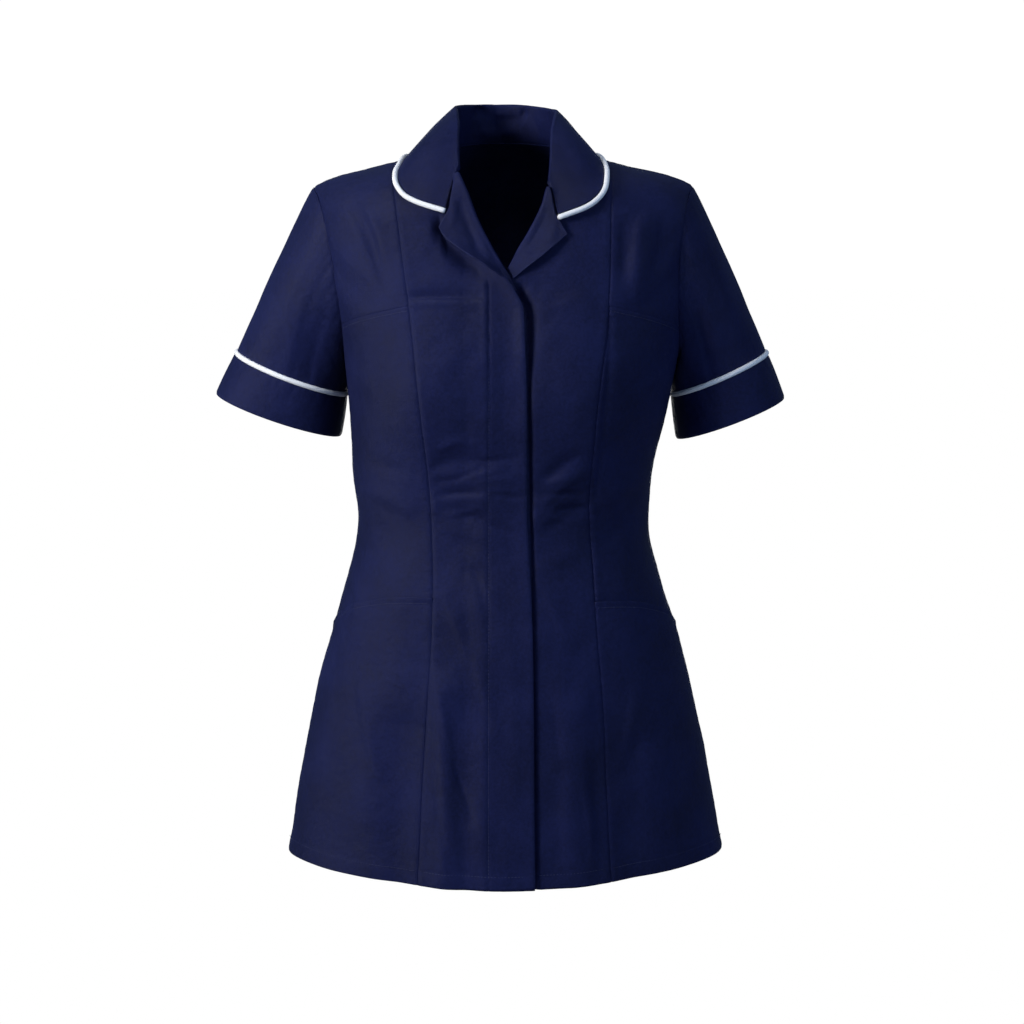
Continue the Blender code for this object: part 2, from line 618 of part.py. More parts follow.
def sleeve_grid(start, end, out, turn):
    """Bezier lines from the armhole's loop to the end loop, one for each column."""
    reach = SLEEVE_REACH + SLEEVE_REACH_OUTER * np.cos(turn) + SLEEVE_REACH_FRONT * np.sin(turn)**2
    straight = end - start
    arm = unit(end.mean(axis=0) - start.mean(axis=0))
    first = start + out * reach[:, None]
    second = end - arm * SLEEVE_STRAIGHT * np.linalg.norm(straight, axis=1, keepdims=True)
    t = np.linspace(0, 1, SLEEVE_ROWS + 1)[:, None, None]
    return (1 - t)**3 * start + 3 * (1 - t)**2 * t * first + 3 * (1 - t) * t**2 * second + t**3 * end


for side, word in ((RIGHT, "right"), (LEFT, "left")):
    points, normals = armhole_points(side)
    lengths = np.linalg.norm(np.roll(points, -1, axis=0) - points, axis=1)
    turn = 2 * math.pi * np.concatenate([[0], np.cumsum(lengths)[:-1]]) / lengths.sum()
    aside = np.full(len(turn), side * SLEEVE_ASIDE)
    out = unit(np.stack([aside, 0 * turn, -SLEEVE_DOWN - SLEEVE_DOWN_OUTER * np.cos(turn)], axis=-1))
    sleeve = SLEEVES[side]
    seam = cuff_loop(sleeve.piping_outer, sleeve.piping_inner, sleeve.tilt, turn)
    hem = cuff_loop(sleeve.hem_outer, sleeve.hem_inner, sleeve.tilt, turn)
    down = unit(hem - seam)
    room = PIPING_RADIUS + CUFF_PIPING_ROOM * SEAM_GAP
    body = sleeve_grid(sewn_in(points, normals, out), seam - room * down, out, turn)
    share = np.linspace(0, 1, CUFF_ROWS + 1)[:, None, None]
    cuff = (1 - share) * (seam + room * down) + share * hem
    if side == RIGHT:
        body, cuff = body[::-1], cuff[::-1]
    cloth_piece(f"sleeve_{word}", body, navy, closed=True)
    cloth_piece(f"cuff_{word}", cuff, navy, CUFF_CLOTH, closed=True)
    cord = seam + PIPING_OUT * unit(seam - seam.mean(axis=0))
    piping(f"cuff_piping_{word}", cord, PIPING_RADIUS, white, closed=True)

# Lapels: each front's own facing, turned out over it along the roll line. The edge runs from the
# tip down to the break, as the front view shows it.
LAPEL_EDGE = {
    RIGHT: (
        EdgePoint(-0.0613, -0.0737), EdgePoint(-0.0551, -0.0842), EdgePoint(-0.0379, -0.0985),
        EdgePoint(-0.0178, -0.1118), EdgePoint(-0.0006, -0.1214), EdgePoint(0.0092, -0.1330),
    ),
    LEFT: (
        EdgePoint(0.0606, -0.0799), EdgePoint(0.0472, -0.0918), EdgePoint(0.0338, -0.1032),
        EdgePoint(0.0224, -0.1128), EdgePoint(0.0155, -0.1185),
    ),
}
LAPEL_NOTCH = {RIGHT: EdgePoint(-0.0515, -0.0545), LEFT: EdgePoint(0.0487, -0.0593)}
LAPEL_START = {RIGHT: BUST_ROW + 1, LEFT: BUST_ROW + 3}      # the front's row where it turns out
LAPEL_TRIM = 3                   # how far it stops short of the collar, in 12ths of its rows
LAPEL_ROLL = 0.0016              # radius of the fold at the roll line
LAPEL_LIFT = 0.0045              # how far its edge stands off the front
LAPEL_ROWS, LAPEL_COLUMNS, LAPEL_ROLL_CELLS = 12, 5, 4


def lapel(side):
    """Under face of a lapel: from its edge to the roll line, and round the fold to the front."""
    rows = front_edge(side)[LAPEL_START[side]:GORGE_ROW + 1]
    roll = resample(resample(rows, 12 * LAPEL_ROWS + 1)[:-LAPEL_TRIM], LAPEL_ROWS + 1)
    edge = smooth_line([place(*point) for point in LAPEL_EDGE[side][::-1]], LAPEL_ROWS + 1)
    share = np.linspace(1, 0, LAPEL_COLUMNS + 1)
    bottom = resample([edge[0], roll[0]], LAPEL_COLUMNS + 1)
    top = resample([edge[-1], place(*LAPEL_NOTCH[side]), roll[-1]], LAPEL_COLUMNS + 1)
    places = patch(bottom, top, edge, roll)
    rise = CLOTH + 2 * LAPEL_ROLL * (1 - share) + LAPEL_LIFT * share + 0.001 * np.sin(math.pi * share)
    flat = lifted(places, FRONT_LIFT[side](places) + rise)
    start = lifted(roll, FRONT_LIFT[side](roll))
    normal = outward(roll[:, 0], roll[:, 1])
    along = unit(np.gradient(start, axis=0))
    open_side = -side * unit(np.cross(along, normal))
    turns = np.linspace(math.pi, 0, LAPEL_ROLL_CELLS + 1)
    fold = [start + (2 * SEAM_GAP + LAPEL_ROLL * math.sin(turn)) * open_side
            + (CLOTH + LAPEL_ROLL * (1 - math.cos(turn))) * normal for turn in turns]
    grid = np.concatenate([flat[:, :-1], np.stack(fold, axis=1)], axis=1)
    return grid if side == RIGHT else grid[:, ::-1]


for side, word in ((RIGHT, "right"), (LEFT, "left")):
    cloth_piece(f"lapel_{word}", lapel(side), navy)

# Collar: the roll, its highest line, is given by bearing from centre front in degrees, and the
# edge of its leaf as seen from the front and from behind, where it lies on the shoulders.
RollPoint = namedtuple("RollPoint", "bearing radius height")
COLLAR_ROLL_LINE = {
    LEFT: (
        RollPoint(27.5, 0.0930, -0.0285), RollPoint(35, 0.0793, -0.0040), RollPoint(46, 0.0647, 0.0165),
        RollPoint(61, 0.0560, 0.0285), RollPoint(80, 0.0520, 0.0345), RollPoint(100, 0.0530, 0.0380),
        RollPoint(130, 0.0560, 0.0405), RollPoint(155, 0.0590, 0.0430), RollPoint(180, 0.0600, 0.0435),
    ),
    RIGHT: (
        RollPoint(30.5, 0.0845, -0.0145), RollPoint(37.5, 0.0730, 0.0070), RollPoint(49.5, 0.0586, 0.0255),
        RollPoint(63, 0.0511, 0.0348), RollPoint(80, 0.0475, 0.0390), RollPoint(100, 0.0490, 0.0418),
        RollPoint(130, 0.0540, 0.0433), RollPoint(155, 0.0580, 0.0438), RollPoint(180, 0.0600, 0.0435),
    ),
}
LEAF_EDGE = {
    LEFT: (
        EdgePoint(0.0522, -0.0600), EdgePoint(0.0655, -0.0560), EdgePoint(0.0790, -0.0512),
        EdgePoint(0.0882, -0.0447), EdgePoint(0.0938, -0.0370), EdgePoint(0.0957, -0.0280),
        EdgePoint(0.0955, -0.0190), EdgePoint(0.0922, -0.0115),
    ),
    RIGHT: (
        EdgePoint(-0.0550, -0.0543), EdgePoint(-0.0680, -0.0515), EdgePoint(-0.0807, -0.0480),
        EdgePoint(-0.0915, -0.0430), EdgePoint(-0.0980, -0.0365), EdgePoint(-0.1010, -0.0300),
        EdgePoint(-0.1010, -0.0225), EdgePoint(-0.0973, -0.0150),
    ),
}
LEAF_EDGE_TOP = {LEFT: 0.0870, RIGHT: -0.0915}       # across, where it crosses the shoulder
LEAF_EDGE_BACK = (
    EdgePoint(0.0875, -0.0165), EdgePoint(0.0785, -0.0230), EdgePoint(0.0640, -0.0268),
    EdgePoint(0.0420, -0.0240), EdgePoint(0.0200, -0.0200), EdgePoint(0.0000, -0.0185),
)
LEAF_LIFT, LEAF_LIFT_TOP, LEAF_TOP_DEPTH = 0.0056, 0.0062, 0.030
COLLAR_ROLL = 0.0022             # radius of the fold at the roll line
COLLAR_STATIONS = 24             # on each side of the nape
STAND_CELLS, ROLL_CELLS, LEAF_CELLS = 3, 4, 6
COLLAR_SEAM_RISE = 0.0010
LEAF_BULGE = 0.04                # how far the leaf bows out, as a share of its width
COLLAR_PIPING_ROOM = 4.5         # shares of the seam gap, from the cord to the leaf


def bearings_of(points):
    return np.unwrap(np.arctan2(points[:, 0], -points[:, 1]))


def neck_seam():
    """Points of the neckline all round, from the wearer's left gorge to the right one."""
    front_left, front_right = smooth_line(front_neck(LEFT), 5), smooth_line(front_neck(RIGHT)[::-1], 5)
    places = np.concatenate([front_left[:-1], back_neck(), front_right[1:]])
    return lifted(places, np.full(len(places), CLOTH))


def leaf_edge():
    """Points of the leaf's edge all round: on the shoulders' cloth, moved out."""
    halves = []
    for side in (LEFT, RIGHT):
        top = shoulder_place(LEAF_EDGE_TOP[side])
        front = np.array([place(*point) for point in LEAF_EDGE[side]] + [top])
        back = np.array([back_of([abs(top[0]), top[1]])]
                        + [back_of(place(*point)) for point in LEAF_EDGE_BACK])
        back[:, 0] *= side
        lines = [smooth_line(line, 6 * COLLAR_STATIONS) for line in (front, back)]
        places = np.concatenate([lines[0], lines[1][1:]])
        depth = torso(places[:, 0], places[:, 1])[:, 1]
        high = np.exp(-(depth / LEAF_TOP_DEPTH)**2)
        halves.append(lifted(places, LEAF_LIFT + (LEAF_LIFT_TOP - LEAF_LIFT) * high))
    return np.concatenate([halves[0], halves[1][-2::-1]])


def at_bearing(bearing, line):
    """The point where a line round the neck passes a bearing."""
    return np.array([np.interp(bearing, bearings_of(line), line[:, axis]) for axis in range(3)])


def collar_section(bearing, roll, seam, edge):
    """Points of the collar's under face, from the neck seam over the roll to the leaf's edge."""
    radial = np.array([math.sin(bearing), -math.cos(bearing), 0])
    up = np.array([0, 0, 1])
    middle = roll["radius"] * radial + (roll["height"] - COLLAR_ROLL) * up
    stand = np.linspace(seam, middle - COLLAR_ROLL * radial, STAND_CELLS + 1)
    turns = np.linspace(math.pi, math.radians(35), ROLL_CELLS + 1)[1:, None]
    fold = middle + COLLAR_ROLL * (np.cos(turns) * radial + np.sin(turns) * up)
    leaf = np.linspace(fold[-1], edge, LEAF_CELLS + 1)
    width = edge - fold[-1]
    square = (width @ radial) * up - (width @ up) * radial
    share = np.linspace(0, 1, LEAF_CELLS + 1)
    leaf += np.outer(4 * LEAF_BULGE * share * (1 - share)**1.5, square)
    return np.concatenate([stand, fold, leaf[1:]])


neck, edge = neck_seam(), leaf_edge()
neck[:, 2] += COLLAR_SEAM_RISE
sections = []
for side in (LEFT, RIGHT):
    rows = COLLAR_ROLL_LINE[side]
    bearings = np.linspace(rows[0].bearing, 180, COLLAR_STATIONS + 1)
    if side == RIGHT:
        bearings = bearings[::-1][1:]
    for degrees in bearings:
        roll = {column: float(read(rows, column, degrees)) for column in rows[0]._fields}
        bearing = math.radians(degrees if side == LEFT else 360 - degrees)
        sections.append(collar_section(bearing, roll, at_bearing(bearing, neck), at_bearing(bearing, edge)))
collar = np.stack(sections, axis=1)
cloth_piece("collar", collar, navy)
edge_out = unit(collar[-1] - collar[-2])
edge_up = unit(np.cross(edge_out, unit(np.gradient(collar[-1], axis=0))))
cord = collar[-1] + (PIPING_RADIUS + COLLAR_PIPING_ROOM * SEAM_GAP) * edge_out + CLOTH / 2 * edge_up
piping("collar_piping", cord, PIPING_RADIUS, white)
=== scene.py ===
import math
from collections import namedtuple

import bmesh
import bpy
import numpy as np
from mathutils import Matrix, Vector


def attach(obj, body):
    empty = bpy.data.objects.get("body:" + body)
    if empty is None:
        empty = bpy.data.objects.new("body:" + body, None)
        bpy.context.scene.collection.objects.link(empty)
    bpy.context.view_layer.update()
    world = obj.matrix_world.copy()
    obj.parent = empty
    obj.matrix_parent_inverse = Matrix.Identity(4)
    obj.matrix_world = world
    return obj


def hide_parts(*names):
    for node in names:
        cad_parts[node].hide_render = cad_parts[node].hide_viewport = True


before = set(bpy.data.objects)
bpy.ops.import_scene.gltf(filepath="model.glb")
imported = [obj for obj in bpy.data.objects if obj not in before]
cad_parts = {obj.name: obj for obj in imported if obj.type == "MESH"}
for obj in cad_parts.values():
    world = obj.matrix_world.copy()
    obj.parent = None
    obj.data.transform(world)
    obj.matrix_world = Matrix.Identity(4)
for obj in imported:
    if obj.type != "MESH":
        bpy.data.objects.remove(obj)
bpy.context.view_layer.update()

bl_info = {
    "name": "Work Tunic",
    "version": (1, 0, 0),
    "blender": (4, 5, 0),
    "location": "View3D > Sidebar > Tunic",
    "description": "Builds the cloth, trim and studio of a short-sleeved work tunic",
    "category": "Object",
}

RIGHT, LEFT = -1, 1              # the wearer's sides, as signs along X
WORD = {RIGHT: "right", LEFT: "left"}
FRONT, BACK = 0, 1


def table(columns, *rows):
    """Rows of a table whose columns have names."""
    row = namedtuple("row", columns)
    return tuple(row(*values) for values in rows)


def outline(*rows):
    """Points of an edge as the front view shows them."""
    return table("across height", *rows)


def creases(face, *rows):
    """Creases pressed or pulled into the cloth of one face, in millimetres: x1 z1 x2 z2 bow width rise lean.

    bow is how far a crease curves off the straight line between its ends, rise is above or
    below the cloth, width is to either side, and lean makes one flank the steeper.
    """
    return table("face x1 z1 x2 z2 bow width rise lean", *((face, *row) for row in rows))


# The torso that every panel is cut from: half widths and depths at each height
TORSO = table(
    "height right_half left_half front back squareness",
    (-0.720, 0.2200, 0.2225, 0.133, 0.131, 1.75),
    (-0.650, 0.2087, 0.2105, 0.130, 0.129, 1.80),
    (-0.570, 0.1942, 0.1951, 0.125, 0.125, 1.88),
    (-0.490, 0.1749, 0.1759, 0.118, 0.115, 2.00),
    (-0.430, 0.1575, 0.1575, 0.109, 0.098, 2.10),
    (-0.370, 0.1450, 0.1430, 0.100, 0.084, 2.15),
    (-0.310, 0.1493, 0.1478, 0.104, 0.088, 2.20),
    (-0.250, 0.1523, 0.1613, 0.113, 0.099, 2.30),
    (-0.190, 0.1592, 0.1738, 0.114, 0.108, 2.35),
    (-0.130, 0.1745, 0.1830, 0.106, 0.111, 2.40),
    (-0.070, 0.1870, 0.1900, 0.093, 0.105, 2.40),
    (0.000, 0.2020, 0.2020, 0.080, 0.094, 2.40),
)
RIDGE = outline(                 # top of the shoulder
    (0.000, 0.028), (0.030, 0.020), (0.065, -0.001),
    (0.090, -0.0080), (0.115, -0.0135), (0.140, -0.0190),
    (0.164, -0.0255), (0.178, -0.0310), (0.190, -0.0380),
    (0.204, -0.0500),
)
SHOULDER_ROLL, SHOULDER_ARC = 0.058, 0.072   # height and length of the roll over the shoulder
BUST_ACROSS, BUST_HEIGHT = 0.086, -0.225
BUST_HALF_WIDTH, BUST_HALF_HEIGHT, BUST_RISE = 0.055, 0.075, 0.016
FOLDS = table(
    "face across_1 height_1 across_2 height_2 half_width rise",
    (FRONT, -0.055, -0.520, -0.058, -0.740, 0.017, 0.0050),
    (FRONT, -0.098, -0.560, -0.106, -0.740, 0.018, -0.0045),
    (FRONT, 0.072, -0.540, 0.076, -0.740, 0.018, 0.0045),
    (FRONT, 0.124, -0.580, 0.130, -0.740, 0.018, -0.0045),
    (FRONT, -0.160, -0.560, -0.176, -0.740, 0.020, 0.0035),
    (FRONT, 0.166, -0.580, 0.184, -0.740, 0.020, 0.0030),
    (FRONT, -0.060, -0.318, -0.020, -0.305, 0.012, -0.0022),
    (FRONT, -0.060, -0.340, -0.005, -0.328, 0.012, 0.0022),
    (FRONT, 0.035, -0.350, 0.075, -0.312, 0.013, 0.0024),
    (FRONT, -0.160, -0.070, -0.108, -0.130, 0.014, 0.0022),
    (FRONT, 0.160, -0.075, 0.118, -0.135, 0.014, 0.0022),
    (BACK, -0.050, -0.540, -0.056, -0.740, 0.020, 0.0050),
    (BACK, 0.058, -0.520, 0.066, -0.740, 0.020, 0.0050),
    (BACK, 0.004, -0.600, 0.006, -0.740, 0.022, -0.0040),
    (BACK, -0.120, -0.580, -0.132, -0.740, 0.022, -0.0040),
    (BACK, 0.128, -0.590, 0.138, -0.740, 0.022, -0.0040),
    (BACK, -0.070, -0.335, 0.060, -0.322, 0.016, -0.0030),
    (BACK, -0.060, -0.372, 0.075, -0.360, 0.016, 0.0025),
)
CLOTH, SEAM_GAP, LAYER_GAP = 0.0012, 0.0003, 0.0005   # wall, between cut edges, between layers
HEM_FRONT = -0.7125
HEM_SIDE = {RIGHT: -0.7010, LEFT: -0.6985}

CREASES = creases(
    FRONT,
    # across the wearer's right bust, and out from the placket
    (-92, -139, -18, -141, 2, 5, -4.4, 0.8),
    (-94, -146, -28, -147, 2, 3, 0.8, 0.0),
    (-92, -130, -40, -132, -2, 5, 0.9, 0.0),
    (-30, -170, -62, -210, 4, 8, 0.8, 0.2),
    (42, -165, 60, -215, -4, 9, 0.8, 0.2),
    (35, -150, 84, -132, -3, 8, 0.8, -0.3),
    # beside the princess seam
    (103, -146, 86, -344, 2, 3, -2.2, 0.2),
    # drag lines on the yokes
    (-152, -40, -112, -138, 4, 8, -3.6, 0.4),
    (-138, -40, -114, -116, 4, 5, 1.6, 0.4),
    (134, -56, 126, -146, -2, 9, 3.4, 0.5),
    (155, -54, 140, -132, 3, 8, -2.4, 0.2),
    (116, -60, 114, -130, 0, 6, -1.6, 0.2),
    (-182, -62, -112, -132, -6, 8, 1.3, 0.3),
    (-176, -96, -122, -150, -4, 7, -1.0, 0.3),
    (-150, -44, -104, -96, -3, 9, 0.8, 0.0),
    (181, -64, 128, -138, 5, 8, 1.2, 0.3),
    (176, -100, 132, -152, 3, 7, -0.9, 0.3),
    (146, -46, 112, -100, 3, 9, 0.7, 0.0),
    # waist, wearer's right
    (-72, -305, 18, -293, 2, 3, -2.2, 0.5),
    (-70, -311, -24, -303, -2, 3, 2.0, 0.3),
    (-44, -318, 6, -303, 3, 3, 1.8, 0.3),
    (-67, -332, -14, -328, 2, 3, -2.2, 0.5),
    (-18, -328, 22, -331, -1, 3, -1.8, 0.4),
    (-60, -349, -22, -342, -2, 3, 1.7, 0.3),
    (-30, -356, 12, -372, 3, 4, -1.5, 0.3),
    (-66, -286, -34, -276, 2, 4, 1.4, 0.3),
    (-72, -303, -18, -290, 3, 6, -2.7, 0.4),
    (-68, -324, 18, -312, 3, 7, 2.5, 0.3),
    (-66, -340, -14, -354, -2, 6, -2.4, 0.4),
    (-64, -362, 4, -388, 6, 8, 1.8, 0.3),
    (-40, -400, 12, -436, 6, 9, -1.4, 0.2),
    (-140, -330, -84, -352, 4, 9, 1.8, 0.3),
    (-142, -362, -92, -396, 5, 9, -1.5, 0.3),
    (-136, -302, -92, -310, 2, 8, -1.2, 0.2),
    # waist, wearer's left
    (33, -330, 82, -331, 2, 3, -2.2, 0.5),
    (48, -345, 83, -344, 1, 3, -2.0, 0.4),
    (34, -318, 66, -311, -2, 3, 1.5, 0.3),
    (38, -352, 78, -360, 2, 4, 1.5, 0.3),
    (34, -342, 82, -303, 3, 7, 2.5, 0.4),
    (34, -322, 78, -288, 3, 6, -2.0, 0.4),
    (32, -372, 84, -340, 3, 8, -1.7, 0.3),
    (36, -404, 80, -380, 2, 9, 1.2, 0.2),
    (92, -344, 140, -318, 3, 9, 1.7, 0.3),
    (94, -384, 142, -352, 4, 9, -1.5, 0.3),
    # skirt of the front
    (-68, -496, -14, -666, -6, 5, 2.2, 0.5),
    (-56, -520, -28, -646, -5, 5, -2.0, 0.4),
    (-66, -600, -50, -700, -3, 5, -1.2, 0.4),
    (-140, -508, -119, -614, -4, 5, 2.0, 0.5),
    (-30, -398, -14, -470, 3, 5, -1.2, 0.3),
    (-64, -420, -34, -500, 5, 6, 1.2, 0.3),
    (-28, -470, -4, -560, -4, 6, 1.1, 0.3),
    (-56, -560, -30, -650, 4, 6, -1.1, 0.3),
    (38, -410, 70, -480, -4, 6, 1.2, 0.3),
    (44, -520, 58, -620, 3, 6, -1.1, 0.3),
    (76, -600, 86, -700, 2, 5, 1.4, 0.4),
    (126, -520, 112, -600, 3, 6, 1.4, 0.4),
    (-70, -470, -58, -708, 5, 9, 2.2, 0.5),
    (-46, -520, -38, -708, -3, 9, -1.6, 0.2),
    (-20, -560, -24, -708, 2, 8, 1.1, 0.0),
    (2, -450, 10, -640, 5, 8, 0.8, 0.2),
    (50, -500, 62, -708, 5, 10, 1.8, 0.3),
    (84, -560, 92, -708, 2, 9, -1.6, 0.2),
    (-148, -408, -143, -462, 2, 6, 2.2, 0.5),
    (158, -408, 160, -462, -2, 6, 2.0, 0.5),
    (-122, -500, -132, -706, -5, 12, 1.4, 0.2),
    (-154, -520, -172, -704, -4, 12, -1.4, 0.2),
    (128, -500, 138, -706, 5, 12, 1.2, 0.2),
    (162, -530, 184, -702, 4, 12, -1.2, 0.2),
    # under the arms
    (-158, -208, -120, -236, 4, 8, 1.0, 0.3),
    (166, -210, 128, -240, -4, 8, 1.0, 0.3),
) + creases(
    BACK,
    (-120, -318, 40, -306, 5, 8, -1.9, 0.4),
    (-100, -342, 112, -334, -6, 9, 1.9, 0.3),
    (-30, -364, 130, -382, 7, 9, -1.5, 0.4),
    (-132, -388, -34, -402, 5, 9, 1.2, 0.3),
    (20, -412, 104, -428, 4, 10, 0.9, 0.2),
    (-168, -92, -96, -156, 6, 11, 1.4, 0.3),
    (170, -88, 104, -164, -6, 11, 1.4, 0.3),
    (-150, -60, -60, -100, 5, 12, -0.9, 0.2),
    (146, -56, 70, -96, -5, 12, -0.9, 0.2),
    (-60, -70, 52, -78, 8, 12, 0.8, 0.1),
    (-78, -480, -88, -706, -6, 13, 1.6, 0.3),
    (-22, -520, -16, -706, 5, 12, 1.1, 0.2),
    (34, -500, 40, -706, 4, 12, -1.3, 0.2),
    (92, -470, 108, -706, 6, 13, 1.5, 0.3),
    (150, -540, 166, -702, 5, 12, 1.2, 0.2),
    (-146, -520, -168, -702, -5, 12, 1.1, 0.2),
    (-104, -210, -60, -262, 5, 12, 0.9, 0.2),
    (100, -206, 64, -270, -5, 12, 0.9, 0.2),
)


def read(rows, column, at):
    """A column's value at places along the first column: cubic between rows, flat outside."""
    places = np.array([row[0] for row in rows])
    values = np.array([getattr(row, column) for row in rows])
    slopes = np.gradient(values, places)
    at = np.clip(at, places[0], places[-1])
    low = np.clip(np.searchsorted(places, at) - 1, 0, len(places) - 2)
    span = places[low + 1] - places[low]
    t = (at - places[low]) / span
    rise = values[low + 1] - values[low]
    start_bend, end_bend = slopes[low] * span - rise, slopes[low + 1] * span - rise
    return values[low] + rise * t + t * (1 - t) * ((1 - t) * start_bend - t * end_bend)


def unit(vectors):
    """Vectors of length one."""
    return vectors / np.maximum(np.linalg.norm(vectors, axis=-1, keepdims=True), 1e-12)


def smooth_step(value, start=0, span=1):
    """0 below the start, 1 past the span, and 3v^2 - 2v^3 between."""
    value = np.clip((value - start) / span, 0, 1)
    return value * value * (3 - 2 * value)


def hump(d, width):
    """exp(-(d / width)^2): 1 where d is 0, and near 0 two widths away."""
    return np.exp(-(d / width)**2)


def rising(d, reach):
    """0 at an edge, 1 from the reach on, and straight between."""
    return np.minimum(d / reach, 1)


def half_width(across, path):
    """Half the torso's width at a path, on the side that the sign of across says."""
    return np.where(across > 0, read(TORSO, "left_half", path), read(TORSO, "right_half", path))


def roll_start(across):
    """Path at which the torso begins to roll over the shoulder."""
    return read(RIDGE, "height", np.abs(across)) - SHOULDER_ROLL


def off_fold(fold, x, z):
    """Distance in the front view from the straight line between a fold's ends."""
    along_x, along_z = fold.across_2 - fold.across_1, fold.height_2 - fold.height_1
    from_x, from_z = x - fold.across_1, z - fold.height_1
    share = np.clip((from_x * along_x + from_z * along_z) / (along_x**2 + along_z**2), 0, 1)
    return np.hypot(from_x - share * along_x, from_z - share * along_z)


def torso(places):
    """Inner face of the cloth at places (angle, path).

    x = half sin^p and y = depth cos^p of the angle, with p = 2 / squareness. path is height,
    carried on over the shoulder by length, where y and z follow a quarter ellipse. Bust and
    large folds add depth as Gaussian humps in the front view.
    """
    angle, path = places[..., 0], places[..., 1]
    power = 2 / read(TORSO, "squareness", path)
    sine, cosine = np.sin(angle), np.cos(angle)
    depth = np.where(cosine > 0, read(TORSO, "front", path), read(TORSO, "back", path))
    x = half_width(sine, path) * np.sign(sine) * np.abs(sine)**power
    start = roll_start(x)
    turn = np.clip((path - start) / SHOULDER_ARC, 0, math.pi / 2)
    z = np.where(path < start, path, start + SHOULDER_ROLL * np.sin(turn))
    bust = BUST_RISE * np.exp(-((np.abs(x) - BUST_ACROSS) / BUST_HALF_WIDTH)**2
                              - ((path - BUST_HEIGHT) / BUST_HALF_HEIGHT)**2)
    deep = depth * np.abs(cosine)**power * np.cos(turn) + np.where(cosine > 0, bust * np.abs(cosine), 0)
    for fold in FOLDS:
        facing = np.where((cosine > 0) == (fold.face == FRONT), np.abs(cosine), 0)
        deep = deep + facing * fold.rise * hump(off_fold(fold, x, path), fold.half_width)
    return np.stack([x, np.where(cosine > 0, -deep, deep), z], axis=-1)


SLOPE_STEP = 0.002               # in radians along the angle, and in metres along the path


def outward(places):
    """Unit normals of torso(), from its slopes along both parameters."""
    along, up = [SLOPE_STEP, 0], [0, SLOPE_STEP]
    across = torso(places + along) - torso(places - along)
    return unit(np.cross(across, torso(places + up) - torso(places - up)))


def lifted(places, lift):
    """Points that stand a height off the torso."""
    return torso(places) + np.asarray(lift)[..., None] * outward(places)


def creased(x, z, rows, near=(1.0, 1.0)):
    """Height of a table's creases at x, z, in metres. near fades those of each face.

    Each is rise * exp(-(d / w)^2) * sin(pi s)^0.7: s is the share of the way between the ends
    and d the distance off the bowed line. w is width * (1 + 0.7 lean) on one flank, and
    width * (1 - 0.7 lean) on the other.
    """
    x, z = x * 1000, z * 1000
    total = np.zeros(np.shape(x))
    for row in rows:
        dx, dz = row.x2 - row.x1, row.z2 - row.z1
        length = math.hypot(dx, dz)
        s = np.clip(((x - row.x1) * dx + (z - row.z1) * dz) / length**2, 0, 1)
        d = ((z - row.z1) * dx - (x - row.x1) * dz) / length - row.bow * 4 * s * (1 - s)
        width = row.width * np.where(d > 0, 1 + 0.7 * row.lean, 1 - 0.7 * row.lean)
        total += near[row.face] * row.rise * hump(d, width) * np.sin(math.pi * s)**0.7
    return total * 0.001


# Sines that run in uneven directions over the cloth, in radians to a metre, with their heights
# in millimetres, and sines along a line, with no period in common
WAVES = table(
    "across up start height",
    (71, 43, 0.3, 0.16), (-52, 88, 1.9, 0.14), (33, -104, 4.0, 0.14), (118, 21, 2.2, 0.10),
    (-92, -61, 5.1, 0.12), (27, 61, 0.9, 0.26), (-38, 29, 3.3, 0.28), (146, -88, 1.2, 0.06),
    (-171, 102, 2.8, 0.05), (62, 187, 5.7, 0.05),
)
WAVERS = table("height turns shift start", (0.45, 430, 1.0, 0), (0.35, 707, 2.1, 1), (0.30, 1130, 3.7, 2))


def waves(across, up):
    """Slack of the cloth, in metres: the sum of height * sin(across * x + up * z + start)."""
    return sum(row.height * np.sin(row.across * across + row.up * up + row.start) for row in WAVES) * 0.001


def uneven(length, start=0.0):
    """A line that wavers between about -1 and 1: a sum of sines. start makes each line another."""
    return sum(row.height * np.sin(row.turns * length + row.shift * start + row.start) for row in WAVERS)


def hem_path(angle):
    """The hem hangs a little lower in front and behind than at the sides: by cos^2 of the angle."""
    at_side = np.where(np.sin(angle) > 0, HEM_SIDE[LEFT], HEM_SIDE[RIGHT])
    return at_side + (HEM_FRONT - at_side) * np.cos(angle)**2


def on_hem(angles):
    """Places along the hem's edge."""
    return np.stack([angles, hem_path(angles)], axis=-1)


HEM_DEPTH = 0.0140               # from the hem's edge up to its stitching
HEM_STEP, HEM_GROOVE, HEM_ROPING = 0.0004, 0.0004, 0.00022
TORSO_RADIUS, ROPING_SLANT = 0.17, 0.6


def relief(places):
    """Height of creases, slack and the doubled hem above the torso.

    The creases of the front and the back fade out near the side seams. The hem is a step up with
    a Gaussian groove at its stitching and another at its edge, and roping, which is a sine from
    edge to stitching times an uneven line.
    """
    angle, path = places[..., 0], places[..., 1]
    points, cosine = torso(places), np.cos(angle)
    near = (np.clip(cosine * 3, 0, 1), np.clip(-cosine * 3, 0, 1))
    cloth = bpy.context.scene.tunic_cloth
    total = cloth.crease_depth * creased(points[..., 0], path, CREASES, near)
    total = total + cloth.slack * waves(points[..., 0] + 0.8 * points[..., 1], path)
    above_hem = path - hem_path(angle)
    doubled = 1 - smooth_step(above_hem, HEM_DEPTH - 0.001, 0.003)
    groove = hump(above_hem - HEM_DEPTH, 0.0011) + hump(above_hem, 0.0012)
    slant = angle * TORSO_RADIUS + ROPING_SLANT * above_hem
    roping = doubled * np.sin(math.pi * np.clip(above_hem / HEM_DEPTH, 0, 1)) * uneven(slant)
    return total + HEM_STEP * doubled - HEM_GROOVE * groove + HEM_ROPING * roping


